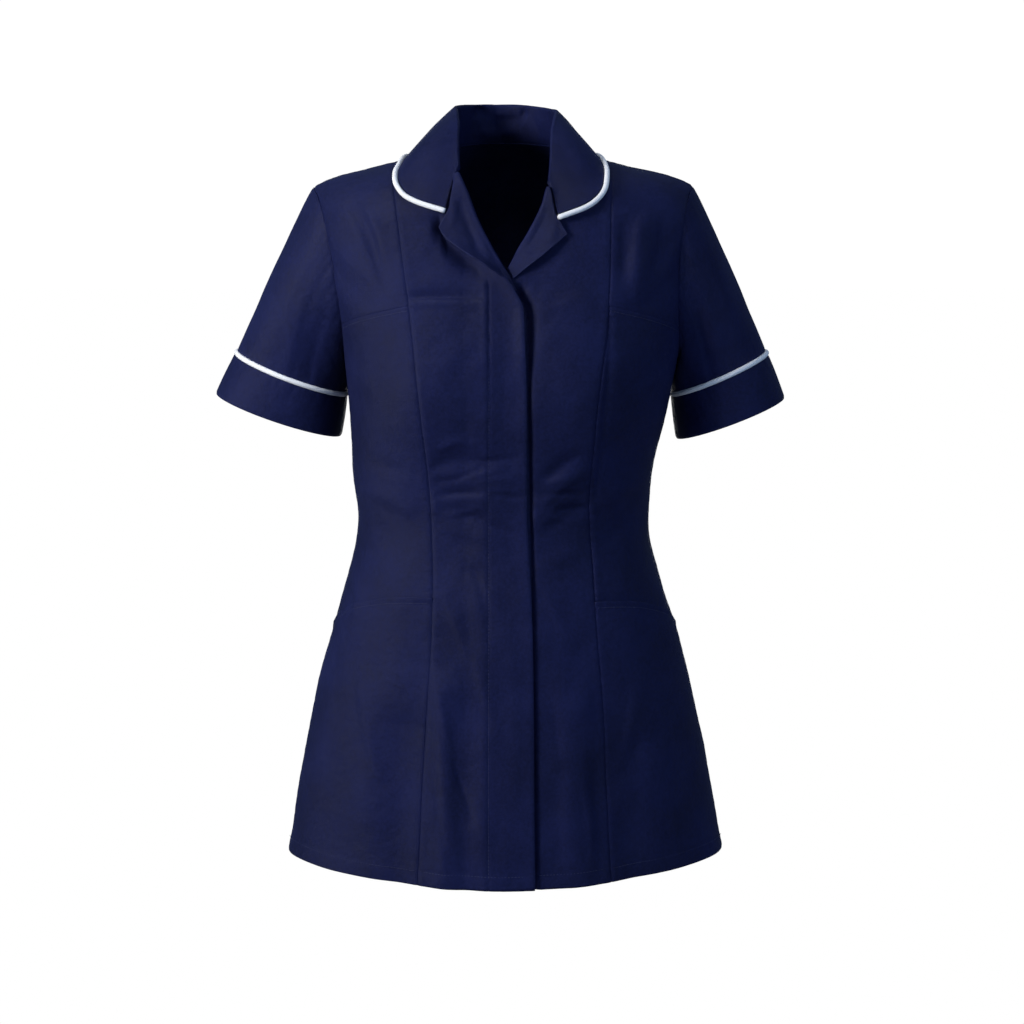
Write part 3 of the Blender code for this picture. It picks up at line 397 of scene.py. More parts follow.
def lengths_along(grid, axis):
    """Length from the first point along the grid's lines, for every point."""
    steps = np.linalg.norm(np.diff(grid, axis=axis), axis=-1)
    return np.concatenate([np.zeros_like(steps.take([0], axis=axis)), steps.cumsum(axis=axis)], axis=axis)


def along_line(points, lengths, at):
    """Points at lengths along a line."""
    return np.stack([np.interp(at, lengths, points[:, axis]) for axis in range(points.shape[1])], axis=-1)


def resample(points, count):
    """Points spaced evenly by length along a line through the given points."""
    points = np.asarray(points, float)
    lengths = lengths_along(points, 0)
    return along_line(points, lengths, np.linspace(0, lengths[-1], count))


def spread(places, shares):
    """Places at shares of the length that a line of places has on the torso."""
    lengths = lengths_along(torso(places), 0)
    return along_line(places, lengths, lengths[-1] * shares)


CURVE_STEPS = 24                 # points worked out between two given ones


def smooth_line(points, count):
    """Points along a Catmull-Rom curve through the given points, evenly spaced by length."""
    points = np.asarray(points, float)
    padded = np.concatenate([[2 * points[0] - points[1]], points, [2 * points[-1] - points[-2]]])
    t = np.linspace(0, 1, CURVE_STEPS, endpoint=False)[:, None]
    fine = []
    for before, start, end, after in zip(padded, padded[1:], padded[2:], padded[3:]):
        fine.append(0.5 * (2 * start + (end - before) * t + (2 * before - 5 * start + 4 * end - after) * t**2
                           + (3 * start - before - 3 * end + after) * t**3))
    return resample(np.concatenate([*fine, points[-1:]]), count)


EASE, EASE_REACH = 0.85, 0.055   # how much closer the grid's lines stand at a piece's edges


def even(count):
    """Evenly spaced shares from 0 to 1."""
    return np.linspace(0, 1, count)


def eased(count):
    """Shares from 0 to 1 that crowd at both ends.

    The step between them goes as 1 - ease (exp(-t / reach) + exp(-(1 - t) / reach)).
    """
    t = even(count)
    summed = t - EASE * EASE_REACH * (np.exp(-(1 - t) / EASE_REACH) - np.exp(-t / EASE_REACH))
    return (summed - summed[0]) / (summed[-1] - summed[0])


def between(start, end, count):
    """Numbers or places from one to the other, crowded at both."""
    return start + np.multiply.outer(eased(count), np.subtract(end, start))


def through(stops, cells):
    """Numbers through the stops, with so many cells in each stretch, crowded at every stop."""
    parts = [between(start, end, count + 1)[1:] for start, end, count in zip(stops, stops[1:], cells)]
    return np.concatenate([[stops[0]], *parts])


def patch(bottom, top, left, right, shares=eased):
    """Coons patch: a grid whose four edges are the given lines, which share their corners."""
    u = shares(len(bottom))[None, :, None]
    v = shares(len(left))[:, None, None]
    across = (1 - u) * left[:, None] + u * right[:, None]
    along = (1 - v) * bottom[None] + v * top[None]
    corners = ((1 - u) * (1 - v) * bottom[0] + u * (1 - v) * bottom[-1]
               + (1 - u) * v * top[0] + u * v * top[-1])
    return across + along - corners


def trimmed(grid, trim=SEAM_GAP / 2):
    """The grid with its border moved in by the trim, measured square to the edge."""
    grid = grid.copy()
    for lines in (grid, grid.swapaxes(0, 1)):
        for edge, inner in ((0, 1), (-1, -2)):
            along = unit(np.gradient(lines[edge], axis=0))
            inward = lines[inner] - lines[edge]
            square = inward - (inward * along).sum(-1, keepdims=True) * along
            lines[edge] += trim * inward / np.maximum(np.linalg.norm(square, axis=-1, keepdims=True), 0.0003)
    return grid


def edge_lengths(points):
    """How far every point is from each border, and how far along it."""
    across, up = lengths_along(points, 1), lengths_along(points, 0)
    return {
        "first": (across, up), "last": (across[:, -1:] - across, up),
        "bottom": (up, across), "top": (up[-1:] - up, across),
    }


def puckers(d, length, start, depth, reach, clear):
    """Unevenness that fades away from a seam: depth * uneven(length) * exp(-d / reach).

    It comes in from nothing over the first stretch, clear, beside the seam.
    """
    return depth * uneven(length, start) * np.exp(-d / reach) * rising(d, clear)


def sewn_down(points, edges):
    """What seams do to the cloth beside them: it turns in at the edge, and puckers unevenly.

    Turning in is -0.9 mm exp(-(d / 0.8 mm)^2), and the seam allowance under it is a hump of
    0.15 mm at 5 mm. edges maps a border to how much of this it has.
    """
    away = edge_lengths(points)
    total = np.zeros(points.shape[:2])
    for number, (edge, share) in enumerate(edges.items()):
        d, length = away[edge]
        total -= share * 0.0009 * hump(d, 0.0008)
        total += share * 0.00015 * hump(d - 0.005, 0.003)
        total += share * puckers(d, length, number, depth=0.0003, reach=0.006, clear=0.002)
    return total


def rubbed(points, edges, share):
    """Wear mask from 0 to the share: strongest within a millimetre or two of the given borders."""
    away = edge_lengths(points)
    total = np.zeros(points.shape[:2])
    for number, edge in enumerate(edges):
        d, length = away[edge]
        total = np.maximum(total, hump(d, 0.0011) * (0.6 + 0.4 * uneven(0.3 * length, number)))
    return np.clip(total, 0, 1) * share


# Seam lines. An armhole's angle goes from the shoulder's to the side's by a power, its turn.
PRINCESS = {
    RIGHT: table(
        "path across",
        (-0.730, -0.0845), (-0.660, -0.0815), (-0.600, -0.0785),
        (-0.520, -0.0730), (-0.450, -0.0690), (-0.390, -0.0690),
        (-0.320, -0.0720), (-0.260, -0.0785), (-0.200, -0.0850),
        (-0.140, -0.0920), (-0.100, -0.0975), (-0.045, -0.1045),
        (0.000, -0.1080),
    ),
    LEFT: table(
        "path across",
        (-0.730, 0.1050), (-0.660, 0.1022), (-0.600, 0.0992),
        (-0.540, 0.0965), (-0.480, 0.0915), (-0.410, 0.0865),
        (-0.335, 0.0825), (-0.270, 0.0870), (-0.210, 0.0935),
        (-0.175, 0.0990), (-0.145, 0.1010), (-0.060, 0.1035),
        (0.000, 0.1040),
    ),
}
SHOULDER_POINT = {RIGHT: -0.1865, LEFT: 0.1845}
SIDE_ANGLE = math.radians(88)
UNDERARM, ARMHOLE_TURN = -0.205, 6
BUST_SEAM_INNER = {RIGHT: -0.1475, LEFT: -0.1475}
BUST_SEAM_OUTER = {RIGHT: -0.1680, LEFT: -0.1710}
POCKET_INNER = {RIGHT: -0.4300, LEFT: -0.4350}
POCKET_OUTER = {RIGHT: -0.4700, LEFT: -0.4690}
POCKET_DROP, POCKET_SINK = 2.2, 0.0017
OPEN_EDGE = {
    RIGHT: outline(
        (0.0298, -0.7105), (0.0262, -0.4300), (0.0224, -0.2400),
        (0.0198, -0.1600), (0.0175, -0.1460), (0.0118, -0.1350),
        (0.0085, -0.1293), (0.0050, -0.1235), (-0.0033, -0.1100),
        (-0.0140, -0.0926), (-0.0274, -0.0658), (-0.0378, -0.0382),
        (-0.0454, -0.0220),
    ),
    LEFT: outline(
        (-0.0100, -0.7105), (-0.0100, -0.4300), (-0.0100, -0.2400),
        (-0.0100, -0.1600), (-0.0100, -0.1480), (-0.0055, -0.1340),
        (0.0000, -0.1225), (0.0045, -0.1140), (0.0095, -0.1055),
        (0.0158, -0.0950), (0.0279, -0.0754), (0.0393, -0.0516),
        (0.0441, -0.0345),
    ),
}
NECK_FRONT = {RIGHT: (-0.0575, -0.0085), LEFT: (0.0572, -0.0120)}
NECK_POINT = {RIGHT: -0.0640, LEFT: 0.0645}
NAPE = outline(
    (0.056, 0.0020), (0.036, 0.0060), (0.015, 0.0078), (0.000, 0.0080),
)
PLACKET_START, PLACKET_RAMP, PLACKET_LIFT = -0.040, 0.024, 0.0030
PLACKET_STITCH = -0.0143         # across, where the placket is stitched through
PLACKET_RIDGE = -0.0042          # from the stitching to the middle of the ridge beside it
LAPEL_SLANT = 0.77               # cosine of the slope of the lapel's free edge
# Stretches of the fronts over which something grows or fades, as a start and a length: paths,
# and for the hollow under the lapel, distances across
PLACKET_TIGHTENS, PLACKET_UNDER_LAPEL = (-0.260, 0.110), (-0.128, 0.008)
EDGE_ROLLS, EDGE_FALLS, EDGE_UNDER_LAPEL = (-0.230, 0.060), (-0.235, 0.075), (-0.136, 0.014)
HOLLOW_STARTS, HOLLOW_ENDS = (-0.072, 0.014), (-0.028, 0.024)


def across_place(across, path):
    """Places on the torso's front that are so far across at that path: torso()'s x turned round."""
    across, path = np.broadcast_arrays(np.asarray(across, float), np.asarray(path, float))
    squareness = read(TORSO, "squareness", path)
    angle = np.arcsin(np.minimum(1, np.abs(across) / half_width(across, path))**(squareness / 2))
    return np.stack([np.copysign(angle, across), path], axis=-1)


def place(across, height):
    """Places on the torso's front that the front view shows at (across, height)."""
    across, height = np.asarray(across, float), np.asarray(height, float)
    start = roll_start(across)
    turned = np.arcsin(np.clip((height - start) / SHOULDER_ROLL, 0, 1))
    return across_place(across, np.where(height > start, start + SHOULDER_ARC * turned, height))


def placed(points):
    """Places of a table of (across, height) points."""
    return place(*np.array(points, float).T)


def princess_place(side, path):
    """Places on a princess seam at a path."""
    return across_place(read(PRINCESS[side], "across", path), path)


def princess_hem(side):
    """Where a princess seam meets the hem."""
    return on_hem(princess_place(side, HEM_FRONT)[0])


def shoulder_place(across):
    """Places at the top of the shoulder, where the quarter ellipse ends."""
    return across_place(across, roll_start(across) + SHOULDER_ARC * math.pi / 2)


def back_of(places):
    """Places behind places on the front, at the same path and as far across."""
    places = np.asarray(places)
    return np.stack([math.pi - places[..., 0], places[..., 1]], axis=-1)


def armhole(side, share, face=FRONT):
    """Places on an armhole's edge: share 0 is the underarm, and 1 the shoulder point.

    The path grows evenly, and the angle from the shoulder's to the side's by (1 - share)^turn.
    """
    share = np.asarray(share, float)
    top = shoulder_place(SHOULDER_POINT[side])
    path = UNDERARM + (top[1] - UNDERARM) * share
    angle = abs(top[0]) + (SIDE_ANGLE - abs(top[0])) * (1 - share)**ARMHOLE_TURN
    if face == BACK:
        angle = math.pi - angle
    return np.stack([side * angle, path], axis=-1)


def bust_corner(side):
    """The armhole's share at which the bust seam meets it."""
    return (BUST_SEAM_OUTER[side] - UNDERARM) / (shoulder_place(SHOULDER_POINT[side])[1] - UNDERARM)


# Cells of each piece. Pieces that share a seam have the same rows along it.
FRONT_COLUMNS, BUST_COLUMNS, UNDERARM_COLUMNS = 76, 48, 22
POCKET_ROWS, WAIST_ROWS, YOKE_ROWS, GORGE_ROWS = 90, 124, 80, 56
BACK_SHOULDER_COLUMNS, BACK_NECK_COLUMNS, BACK_WAIST_ROWS, BACK_YOKE_ROWS = 46, 56, 70, 72
BUST_ROW = POCKET_ROWS + WAIST_ROWS
GORGE_ROW = BUST_ROW + GORGE_ROWS
# Points worked out along a line before a grid's own points are taken from it
FINE_EDGE, FINE_ARMHOLE, FINE_ROLL, FINE_LEAF, FINE_STITCH = 2400, 400, 1201, 200, 900
FINE_NECK, FINE_SHOULDER, FINE_NAPE, FINE_COLLAR_NAPE, FINE_BUST = 40, 80, 160, 120, 300


def placket_lift(places):
    """How far the right front stands off the torso: a smooth step up at the placket.

    Below the lapel its stitching is a Gaussian groove of 0.5 mm beside a ridge of 0.2 mm. At the
    bust the groove is 0.9 mm deeper and the ridge 0.6 mm higher.
    """
    across, path = torso(places)[..., 0], places[..., 1]
    lift = PLACKET_LIFT * smooth_step(across, PLACKET_START, PLACKET_RAMP)
    below_lapel, bust = 1 - smooth_step(path, *PLACKET_UNDER_LAPEL), smooth_step(path, *PLACKET_TIGHTENS)
    groove = hump(across - PLACKET_STITCH, 0.0010)
    ridge = hump(across - PLACKET_STITCH - PLACKET_RIDGE, 0.0030)
    return lift + below_lapel * ((0.0002 + 0.0006 * bust) * ridge - (0.0005 + 0.0009 * bust) * groove)


def no_lift(places):
    """The left front lies on the torso."""
    return np.zeros(places.shape[:-1])


FRONT_LIFT = {RIGHT: placket_lift, LEFT: no_lift}


def fallen_away(places):
    """How far the left front sinks beside the right one's edge, deepest below the lapels.

    It is -depth exp(-(d / w)^2), with d measured from 1 mm outside that edge. At the bust the
    depth grows from 3.5 to 8 mm, and w outside the edge from 3 to 8 mm. Under it w is 7 mm.
    """
    rows = np.array(OPEN_EDGE[RIGHT][:6])
    across, path = torso(places)[..., 0], places[..., 1]
    d = across - np.interp(path, rows[:, 1], rows[:, 0]) - 0.001
    high, below_lapel = smooth_step(path, *EDGE_FALLS), 1 - smooth_step(path, *EDGE_UNDER_LAPEL)
    width = np.where(d < 0, 0.007, 0.003 + 0.005 * high)
    return -below_lapel * (0.0035 + 0.0045 * high) * hump(d, width)


def under_lapel(places):
    """How far the right front sinks along its lapel's free edge: -8 mm exp(-(d / w)^2).

    d is measured square to that edge, which slants, and w is 10 mm outside the lapel and 7 mm
    under it. The hollow fades in and out between the edge's two ends.
    """
    rows = np.array(LAPEL_EDGE[RIGHT])
    points = torso(places)
    across = points[..., 0]
    d = LAPEL_SLANT * (np.interp(across, rows[:, 0], rows[:, 1]) - points[..., 2])
    along = smooth_step(across, *HOLLOW_STARTS) * (1 - smooth_step(across, *HOLLOW_ENDS))
    return -0.0080 * along * hump(d, np.where(d > 0, 0.010, 0.007))


def front_neck(side):
    """Places of the neckline of a front, from the gorge to the side neck point."""
    return np.stack([place(*OPEN_EDGE[side][-1]), place(*NECK_FRONT[side]), shoulder_place(NECK_POINT[side])])


def princess_rows(side):
    """Places along a princess seam at the rows of the pieces that meet there."""
    hem, top = princess_hem(side), shoulder_place(PRINCESS[side][-1].across)
    stops = (hem[1], POCKET_INNER[side], BUST_SEAM_INNER[side], top[1])
    rows = princess_place(side, through(stops, (POCKET_ROWS, WAIST_ROWS, YOKE_ROWS)))
    rows[0] = hem
    return rows


def side_rows(side, waist_rows=WAIST_ROWS):
    """Places along a side seam at the rows of the pieces that meet there."""
    stops = (hem_path(side * SIDE_ANGLE), POCKET_OUTER[side], UNDERARM)
    paths = through(stops, (POCKET_ROWS, waist_rows))
    return np.stack([np.full(len(paths), side * SIDE_ANGLE), paths], axis=-1)


def front_edge(side):
    """Places along a front's open edge and its neckline, with as many rows as the princess seam."""
    points = placed(OPEN_EDGE[side])
    fine = smooth_line(np.concatenate([points, front_neck(side)[1:]]), FINE_EDGE)
    bust = np.argmax(fine[:, 1] > BUST_SEAM_INNER[side])
    gorge = np.argmin(np.abs(fine - points[-1]).sum(-1))
    edge = np.concatenate([resample(fine[:bust + 1], BUST_ROW + 1),
                           resample(fine[bust:gorge + 1], GORGE_ROWS + 1)[1:],
                           resample(fine[gorge:], YOKE_ROWS - GORGE_ROWS + 1)[1:]])
    edge[0, 1] = hem_path(edge[0, 0])
    return edge


def towards_left(already, grid):
    """Columns run towards the wearer's left, so that a grid's faces point out."""
    return grid if already else grid[:, ::-1]


def front_panel(side):
    """Centre front: from the princess seam to the open edge, up to the neck and shoulder."""
    seam, edge = princess_rows(side), front_edge(side)
    bottom = on_hem(between(seam[0, 0], edge[0, 0], FRONT_COLUMNS + 1))
    top = shoulder_place(between(PRINCESS[side][-1].across, NECK_POINT[side], FRONT_COLUMNS + 1))
    return towards_left(side == RIGHT, patch(bottom, top, seam, edge))


def side_panel(side):
    """The pocket's patch of the side front, and the whole side front up to the bust seam.

    The whole is the pocket's patch and another above it, which meet along the pocket's mouth.
    """
    seam, edge = princess_rows(side), side_rows(side)
    columns = UNDERARM_COLUMNS + BUST_COLUMNS
    bottom = on_hem(between(seam[0, 0], edge[0, 0], columns + 1))
    mouth = between(seam[POCKET_ROWS], edge[POCKET_ROWS], columns + 1)
    mouth[:, 1] = mouth[0, 1] + (mouth[-1, 1] - mouth[0, 1]) * eased(columns + 1)**POCKET_DROP
    below_arm = armhole(side, np.linspace(bust_corner(side), 0, 4 * columns))
    bust = np.linspace(seam[BUST_ROW], below_arm[0], 4 * columns)
    top = spread(np.concatenate([bust, below_arm[1:]]), eased(columns + 1))
    pocket = patch(bottom, mouth, seam[:POCKET_ROWS + 1], edge[:POCKET_ROWS + 1])
    waist = patch(mouth, top, seam[POCKET_ROWS:BUST_ROW + 1], edge[POCKET_ROWS:])
    return towards_left(side == LEFT, pocket), towards_left(side == LEFT, np.concatenate([pocket, waist[1:]]))


def seam_sink(side, places):
    """How far a side front and its pocket sink together, so that the pocket meets the seams flush.

    The depth is sink * (exp(-(u / w)^2) + exp(-((1 - u) / w)^2)), with u from 0 at the princess
    seam to 1 at the side seam and w 0.13. It fades in from 4 mm above the pocket's mouth to
    10 mm below it.
    """
    path = places[..., 1]
    seam = princess_place(side, path)[..., 0]
    u = np.clip((places[..., 0] - seam) / (side * SIDE_ANGLE - seam), 0, 1)
    mouth = POCKET_INNER[side] + (POCKET_OUTER[side] - POCKET_INNER[side]) * u**POCKET_DROP
    below_mouth = smooth_step((mouth + 0.004 - path) / 0.014)
    return -POCKET_SINK * below_mouth * (hump(u, 0.13) + hump(1 - u, 0.13))


def yoke_panel(side):
    """Side front above the bust seam, up to the shoulder."""
    corner = bust_corner(side)
    edge = armhole(side, corner + (1 - corner) * eased(YOKE_ROWS + 1))
    seam = princess_rows(side)[-YOKE_ROWS - 1:]
    bottom = between(seam[0], edge[0], BUST_COLUMNS + 1)
    top = shoulder_place(between(PRINCESS[side][-1].across, SHOULDER_POINT[side], BUST_COLUMNS + 1))
    return towards_left(side == LEFT, patch(bottom, top, seam, edge))


def round_the_back(side, places):
    """Places behind ones on the front, with angles that grow from the left side to the right."""
    angle, path = np.abs(places[..., 0]), places[..., 1]
    return np.stack([math.pi - angle if side == LEFT else math.pi + angle, path], axis=-1)


def back_neck(count):
    """Places of the back neckline, from the wearer's left side neck point to the right one."""
    half = np.concatenate([[back_of(shoulder_place(NECK_POINT[LEFT]))], back_of(placed(NAPE))])
    other = half[-2::-1] * [-1, 1] + [2 * math.pi, 0]
    return smooth_line(np.concatenate([half, other]), count)


def back_panel():
    """The back in one piece, from side seam to side seam, in a waist part and a yoke part."""
    left, right = side_rows(LEFT, BACK_WAIST_ROWS), side_rows(RIGHT, BACK_WAIST_ROWS) + [2 * math.pi, 0]
    columns = 2 * BACK_SHOULDER_COLUMNS + BACK_NECK_COLUMNS
    angles = between(left[0, 0], right[0, 0], columns + 1)
    middle = np.stack([angles, np.full(columns + 1, UNDERARM)], axis=-1)
    waist = patch(on_hem(angles), middle, left, right)
    arms, shoulders = {}, {}
    for side in (LEFT, RIGHT):
        arms[side] = round_the_back(side, armhole(side, eased(BACK_YOKE_ROWS + 1)))
        across = np.linspace(SHOULDER_POINT[side], NECK_POINT[side], FINE_SHOULDER)
        shoulders[side] = round_the_back(side, shoulder_place(across))
    top = np.concatenate([shoulders[LEFT], back_neck(FINE_NAPE)[1:-1], shoulders[RIGHT][::-1]])
    arms[LEFT][0], arms[RIGHT][0] = middle[0], middle[-1]
    yoke = patch(middle, spread(top, eased(columns + 1)), arms[LEFT], arms[RIGHT])
    return np.concatenate([waist, yoke[1:]])


# Sleeves and cuffs
Sleeve = namedtuple("Sleeve", "piping_outer piping_inner hem_outer hem_inner tilt")
SLEEVES = {
    RIGHT: Sleeve((-0.2670, -0.2000), (-0.1590, -0.2405), (-0.2880, -0.2410), (-0.1650, -0.2830), 4),
    LEFT: Sleeve((0.2620, -0.2005), (0.1695, -0.2410), (0.2805, -0.2455), (0.1745, -0.2860), 2),
}
SLEEVE_CENTRE, SLEEVE_HALF_DEPTH = 0.030, 0.050
SLEEVE_ROWS, SLEEVE_COLUMNS, CUFF_ROWS = 80, 200, 26
ARM_RADIUS, PIPING_RADIUS = 0.055, 0.0026
STRAIGHT_END = 0.35              # share of its length over which a sleeve runs straight to the cuff
SEAM_ROOM, CORNER_ROOM = 0.2, 0.7   # shares of the gap, and of the wall where two meet at a corner
CUFF_CLEAR, PIPING_OUT = 0.8 * PIPING_RADIUS, 0.0012
# Creases of a sleeve: x is millimetres round it from the outside over the front, z down it
SLEEVE_CREASES = {
    RIGHT: creases(
        FRONT,
        (148, 2, 168, 46, 0, 13, 2.0, 0.0),
        (70, 10, 92, 150, 5, 9, 1.5, 0.3), (108, 12, 104, 120, 4, 8, -1.4, 0.3),
        (44, 4, 60, 120, -4, 11, 0.9, 0.2), (128, 40, 84, 150, -6, 8, 1.2, 0.3),
        (150, 20, 132, 110, 5, 8, 1.2, 0.4), (20, 60, 30, 160, 3, 12, -0.8, 0.2),
    ) + creases(
        BACK,
        (250, 10, 270, 140, 5, 11, 1.3, 0.3), (220, 12, 232, 120, -4, 9, -1.2, 0.3),
        (190, 20, 214, 110, 4, 9, 1.3, 0.3), (290, 30, 284, 160, -3, 12, 0.8, 0.2),
    ),
    LEFT: creases(
        FRONT,
        (66, 8, 84, 150, -5, 10, 1.3, 0.3), (100, 14, 100, 130, 5, 8, -1.5, 0.4),
        (40, 6, 54, 130, 4, 11, 0.9, 0.2), (134, 30, 92, 140, 5, 8, 1.3, 0.3),
        (152, 16, 126, 104, -4, 8, 1.1, 0.4), (16, 70, 34, 160, 3, 12, -0.7, 0.2),
    ) + creases(
        BACK,
        (246, 12, 262, 150, -5, 11, 1.2, 0.3), (216, 10, 236, 110, 4, 9, -1.2, 0.3),
        (186, 24, 206, 120, -4, 9, 1.3, 0.3), (286, 26, 292, 150, 3, 12, 0.8, 0.2),
    ),
}


def cuff_loop(outer, inner, tilt, turn):
    """An ellipse round the arm: turn is 0 outside, pi/2 in front and pi by the body."""
    outer = np.array([outer[0], SLEEVE_CENTRE, outer[1]])
    inner = np.array([inner[0], SLEEVE_CENTRE, inner[1]])
    deep = SLEEVE_HALF_DEPTH * np.array([0, -math.cos(math.radians(tilt)), -math.sin(math.radians(tilt))])
    return (outer + inner) / 2 + (outer - inner) / 2 * np.cos(turn)[:, None] + deep * np.sin(turn)[:, None]


def armhole_loop(side):
    """Points and normals round an armhole, evenly by length: down the front, and up the back."""
    down, up = np.linspace(1, 0, FINE_ARMHOLE), even(FINE_ARMHOLE)[1:]
    fine = np.concatenate([armhole(side, down), armhole(side, up, BACK)])
    places = spread(fine, np.linspace(0, 1, SLEEVE_COLUMNS, endpoint=False))
    return torso(places), outward(places)


def sewn_in(points, normals, out):
    """The loop moved off the armhole's edge, further where the two cloths meet at a corner."""
    along = unit(np.roll(points, -1, axis=0) - np.roll(points, 1, axis=0))
    off = unit(np.cross(normals, along))
    off *= np.sign((off * (points.mean(axis=0) - points)).sum(-1, keepdims=True))
    corner = np.clip((out * normals).sum(-1, keepdims=True), 0, 1)
    return points + (SEAM_ROOM * SEAM_GAP + CORNER_ROOM * CLOTH * corner) * off


def sleeve_grid(start, end, out, turn):
    """Cubic Bezier lines from the armhole's loop to the end loop, one for each column.

    They leave the armhole over 14 mm outside, 6 mm by the body, and 30 mm in front and behind.
    """
    reach = (0.010 + 0.004 * np.cos(turn) + 0.020 * np.sin(turn)**2)[:, None]
    arm = unit(end.mean(axis=0) - start.mean(axis=0))
    first = start + out * reach
    second = end - arm * STRAIGHT_END * np.linalg.norm(end - start, axis=1, keepdims=True)
    t = eased(SLEEVE_ROWS + 1)[:, None, None]
    return (1 - t)**3 * start + 3 * (1 - t)**2 * t * first + 3 * (1 - t) * t**2 * second + t**3 * end


def grid_normals(grid, closed=False):
    """Unit normals of a grid from its neighbours, columns joined round where it is a tube."""
    across = np.roll(grid, -1, axis=1) - np.roll(grid, 1, axis=1) if closed else np.gradient(grid, axis=1)
    return unit(np.cross(across, np.gradient(grid, axis=0)))


def sleeve_shape(side):
    """Smooth sleeve, from the shoulder down, then the cuff's two edges and the piping's line.

    At the armhole the sleeve sets off sideways and down, most steeply outside. Sleeve and cuff
    end a little clear of the piping, which lies just outside their seam.
    """
    turn = 2 * math.pi * np.linspace(0, 1, SLEEVE_COLUMNS, endpoint=False)
    points, normals = armhole_loop(side)
    out = unit(np.stack([np.full(len(turn), side * 0.9), 0 * turn, -0.85 - 0.31 * np.cos(turn)], axis=-1))
    row = SLEEVES[side]
    seam = cuff_loop(row.piping_outer, row.piping_inner, row.tilt, turn)
    hem = cuff_loop(row.hem_outer, row.hem_inner, row.tilt, turn)
    clear = CUFF_CLEAR * unit(hem - seam)
    body = sleeve_grid(sewn_in(points, normals, out), seam - clear, out, turn)
    return body, seam + clear, hem, seam + PIPING_OUT * unit(seam - seam.mean(axis=0)), turn


def sleeve_cloth(side, body, turn):
    """The sleeve with its creases and slack, turned in and puckered at both ends.

    The puckers are deeper at the armhole, and hollows fade out within 4 mm of the ends. The
    second value is the wear beside the cuff.
    """
    round_arm = np.broadcast_to(turn[None] * ARM_RADIUS, body.shape[:2])
    down = lengths_along(body, 0)
    left = down[-1:] - down
    normals = grid_normals(body, True)
    if (normals * (body - body.mean(axis=1, keepdims=True))).sum() < 0:
        normals = -normals
    lift = creased(round_arm, down, SLEEVE_CREASES[side])
    lift = lift + 0.8 * waves(0.05 * np.sin(turn), down + 0.3 + 0.03 * np.cos(turn))
    lift -= 0.0007 * hump(down, 0.0016) + 0.0007 * hump(left, 0.0014)
    lift += puckers(left, round_arm, side, depth=0.0003, reach=0.010, clear=0.002)
    lift += puckers(down, round_arm * 0.7, 2 + side, depth=0.0004, reach=0.014, clear=0.003)
    fade = rising(np.minimum(down, left), 0.004)
    body = body + (lift * np.where(lift < 0, fade, 1))[..., None] * normals
    return body, 0.4 * hump(left, 0.002)


def cuff_cloth(side, top, hem, turn):
    """A cuff between its edges, bowed out, waved and puckered, and its wear along the hem."""
    share = eased(CUFF_ROWS + 1)[:, None, None]
    cuff = (1 - share) * top + share * hem
    out = unit(cuff - cuff.mean(axis=1, keepdims=True))
    deep = lengths_along(cuff, 0)
    edge = deep[-1:] - deep
    lift = 0.0006 * np.sin(math.pi * share[..., 0]) + 0.5 * waves(0.05 * np.sin(turn), deep)
    lift += 0.0005 * uneven(turn * ARM_RADIUS * 0.8 + 0.2 * deep, 4 + side) * np.exp(-deep / 0.012)
    lift -= 0.0008 * hump(edge, 0.0012) + 0.0006 * hump(deep, 0.0012)
    return cuff + lift[..., None] * out, hump(edge, 0.0016)


# Lapels and collar
LAPEL_EDGE = {
    RIGHT: outline(
        (-0.0613, -0.0737), (-0.0551, -0.0842), (-0.0379, -0.0985),
        (-0.0178, -0.1118), (-0.0006, -0.1214), (0.0092, -0.1330),
    ),
    LEFT: outline(
        (0.0606, -0.0799), (0.0472, -0.0918), (0.0338, -0.1032),
        (0.0210, -0.1125), (0.0092, -0.1212),
    ),
}
LAPEL_NOTCH = {RIGHT: (-0.0515, -0.0545), LEFT: (0.0487, -0.0593)}
LAPEL_START = {RIGHT: 1 / 8, LEFT: 1 / 4}            # share of the way from the bust row to the gorge
LAPEL_TRIM = 25                  # of the fine points of a lapel's roll, left off at the gorge
LAPEL_ROLL, LAPEL_LIFT = 0.0016, {RIGHT: 0.0160, LEFT: 0.0060}
LAPEL_ROWS, LAPEL_COLUMNS, LAPEL_ROLL_CELLS = 90, 30, 12

LAPEL_CREASES = {
    RIGHT: creases(
        FRONT,
        (-45, -46, -22, -108, 2, 6, -2.2, 0.2), (-51, -34, -50, -74, 1, 4, 1.8, 0.2),
        (-36, -52, -12, -104, -1, 4, 1.2, 0.0), (-40, -78, -28, -92, 0, 4, 0.8, 0.0),
    ),
    LEFT: creases(
        FRONT,
        (40, -52, 22, -98, 1, 6, -1.5, 0.2), (50, -66, 44, -88, 0, 5, 0.8, 0.0),
    ),
}

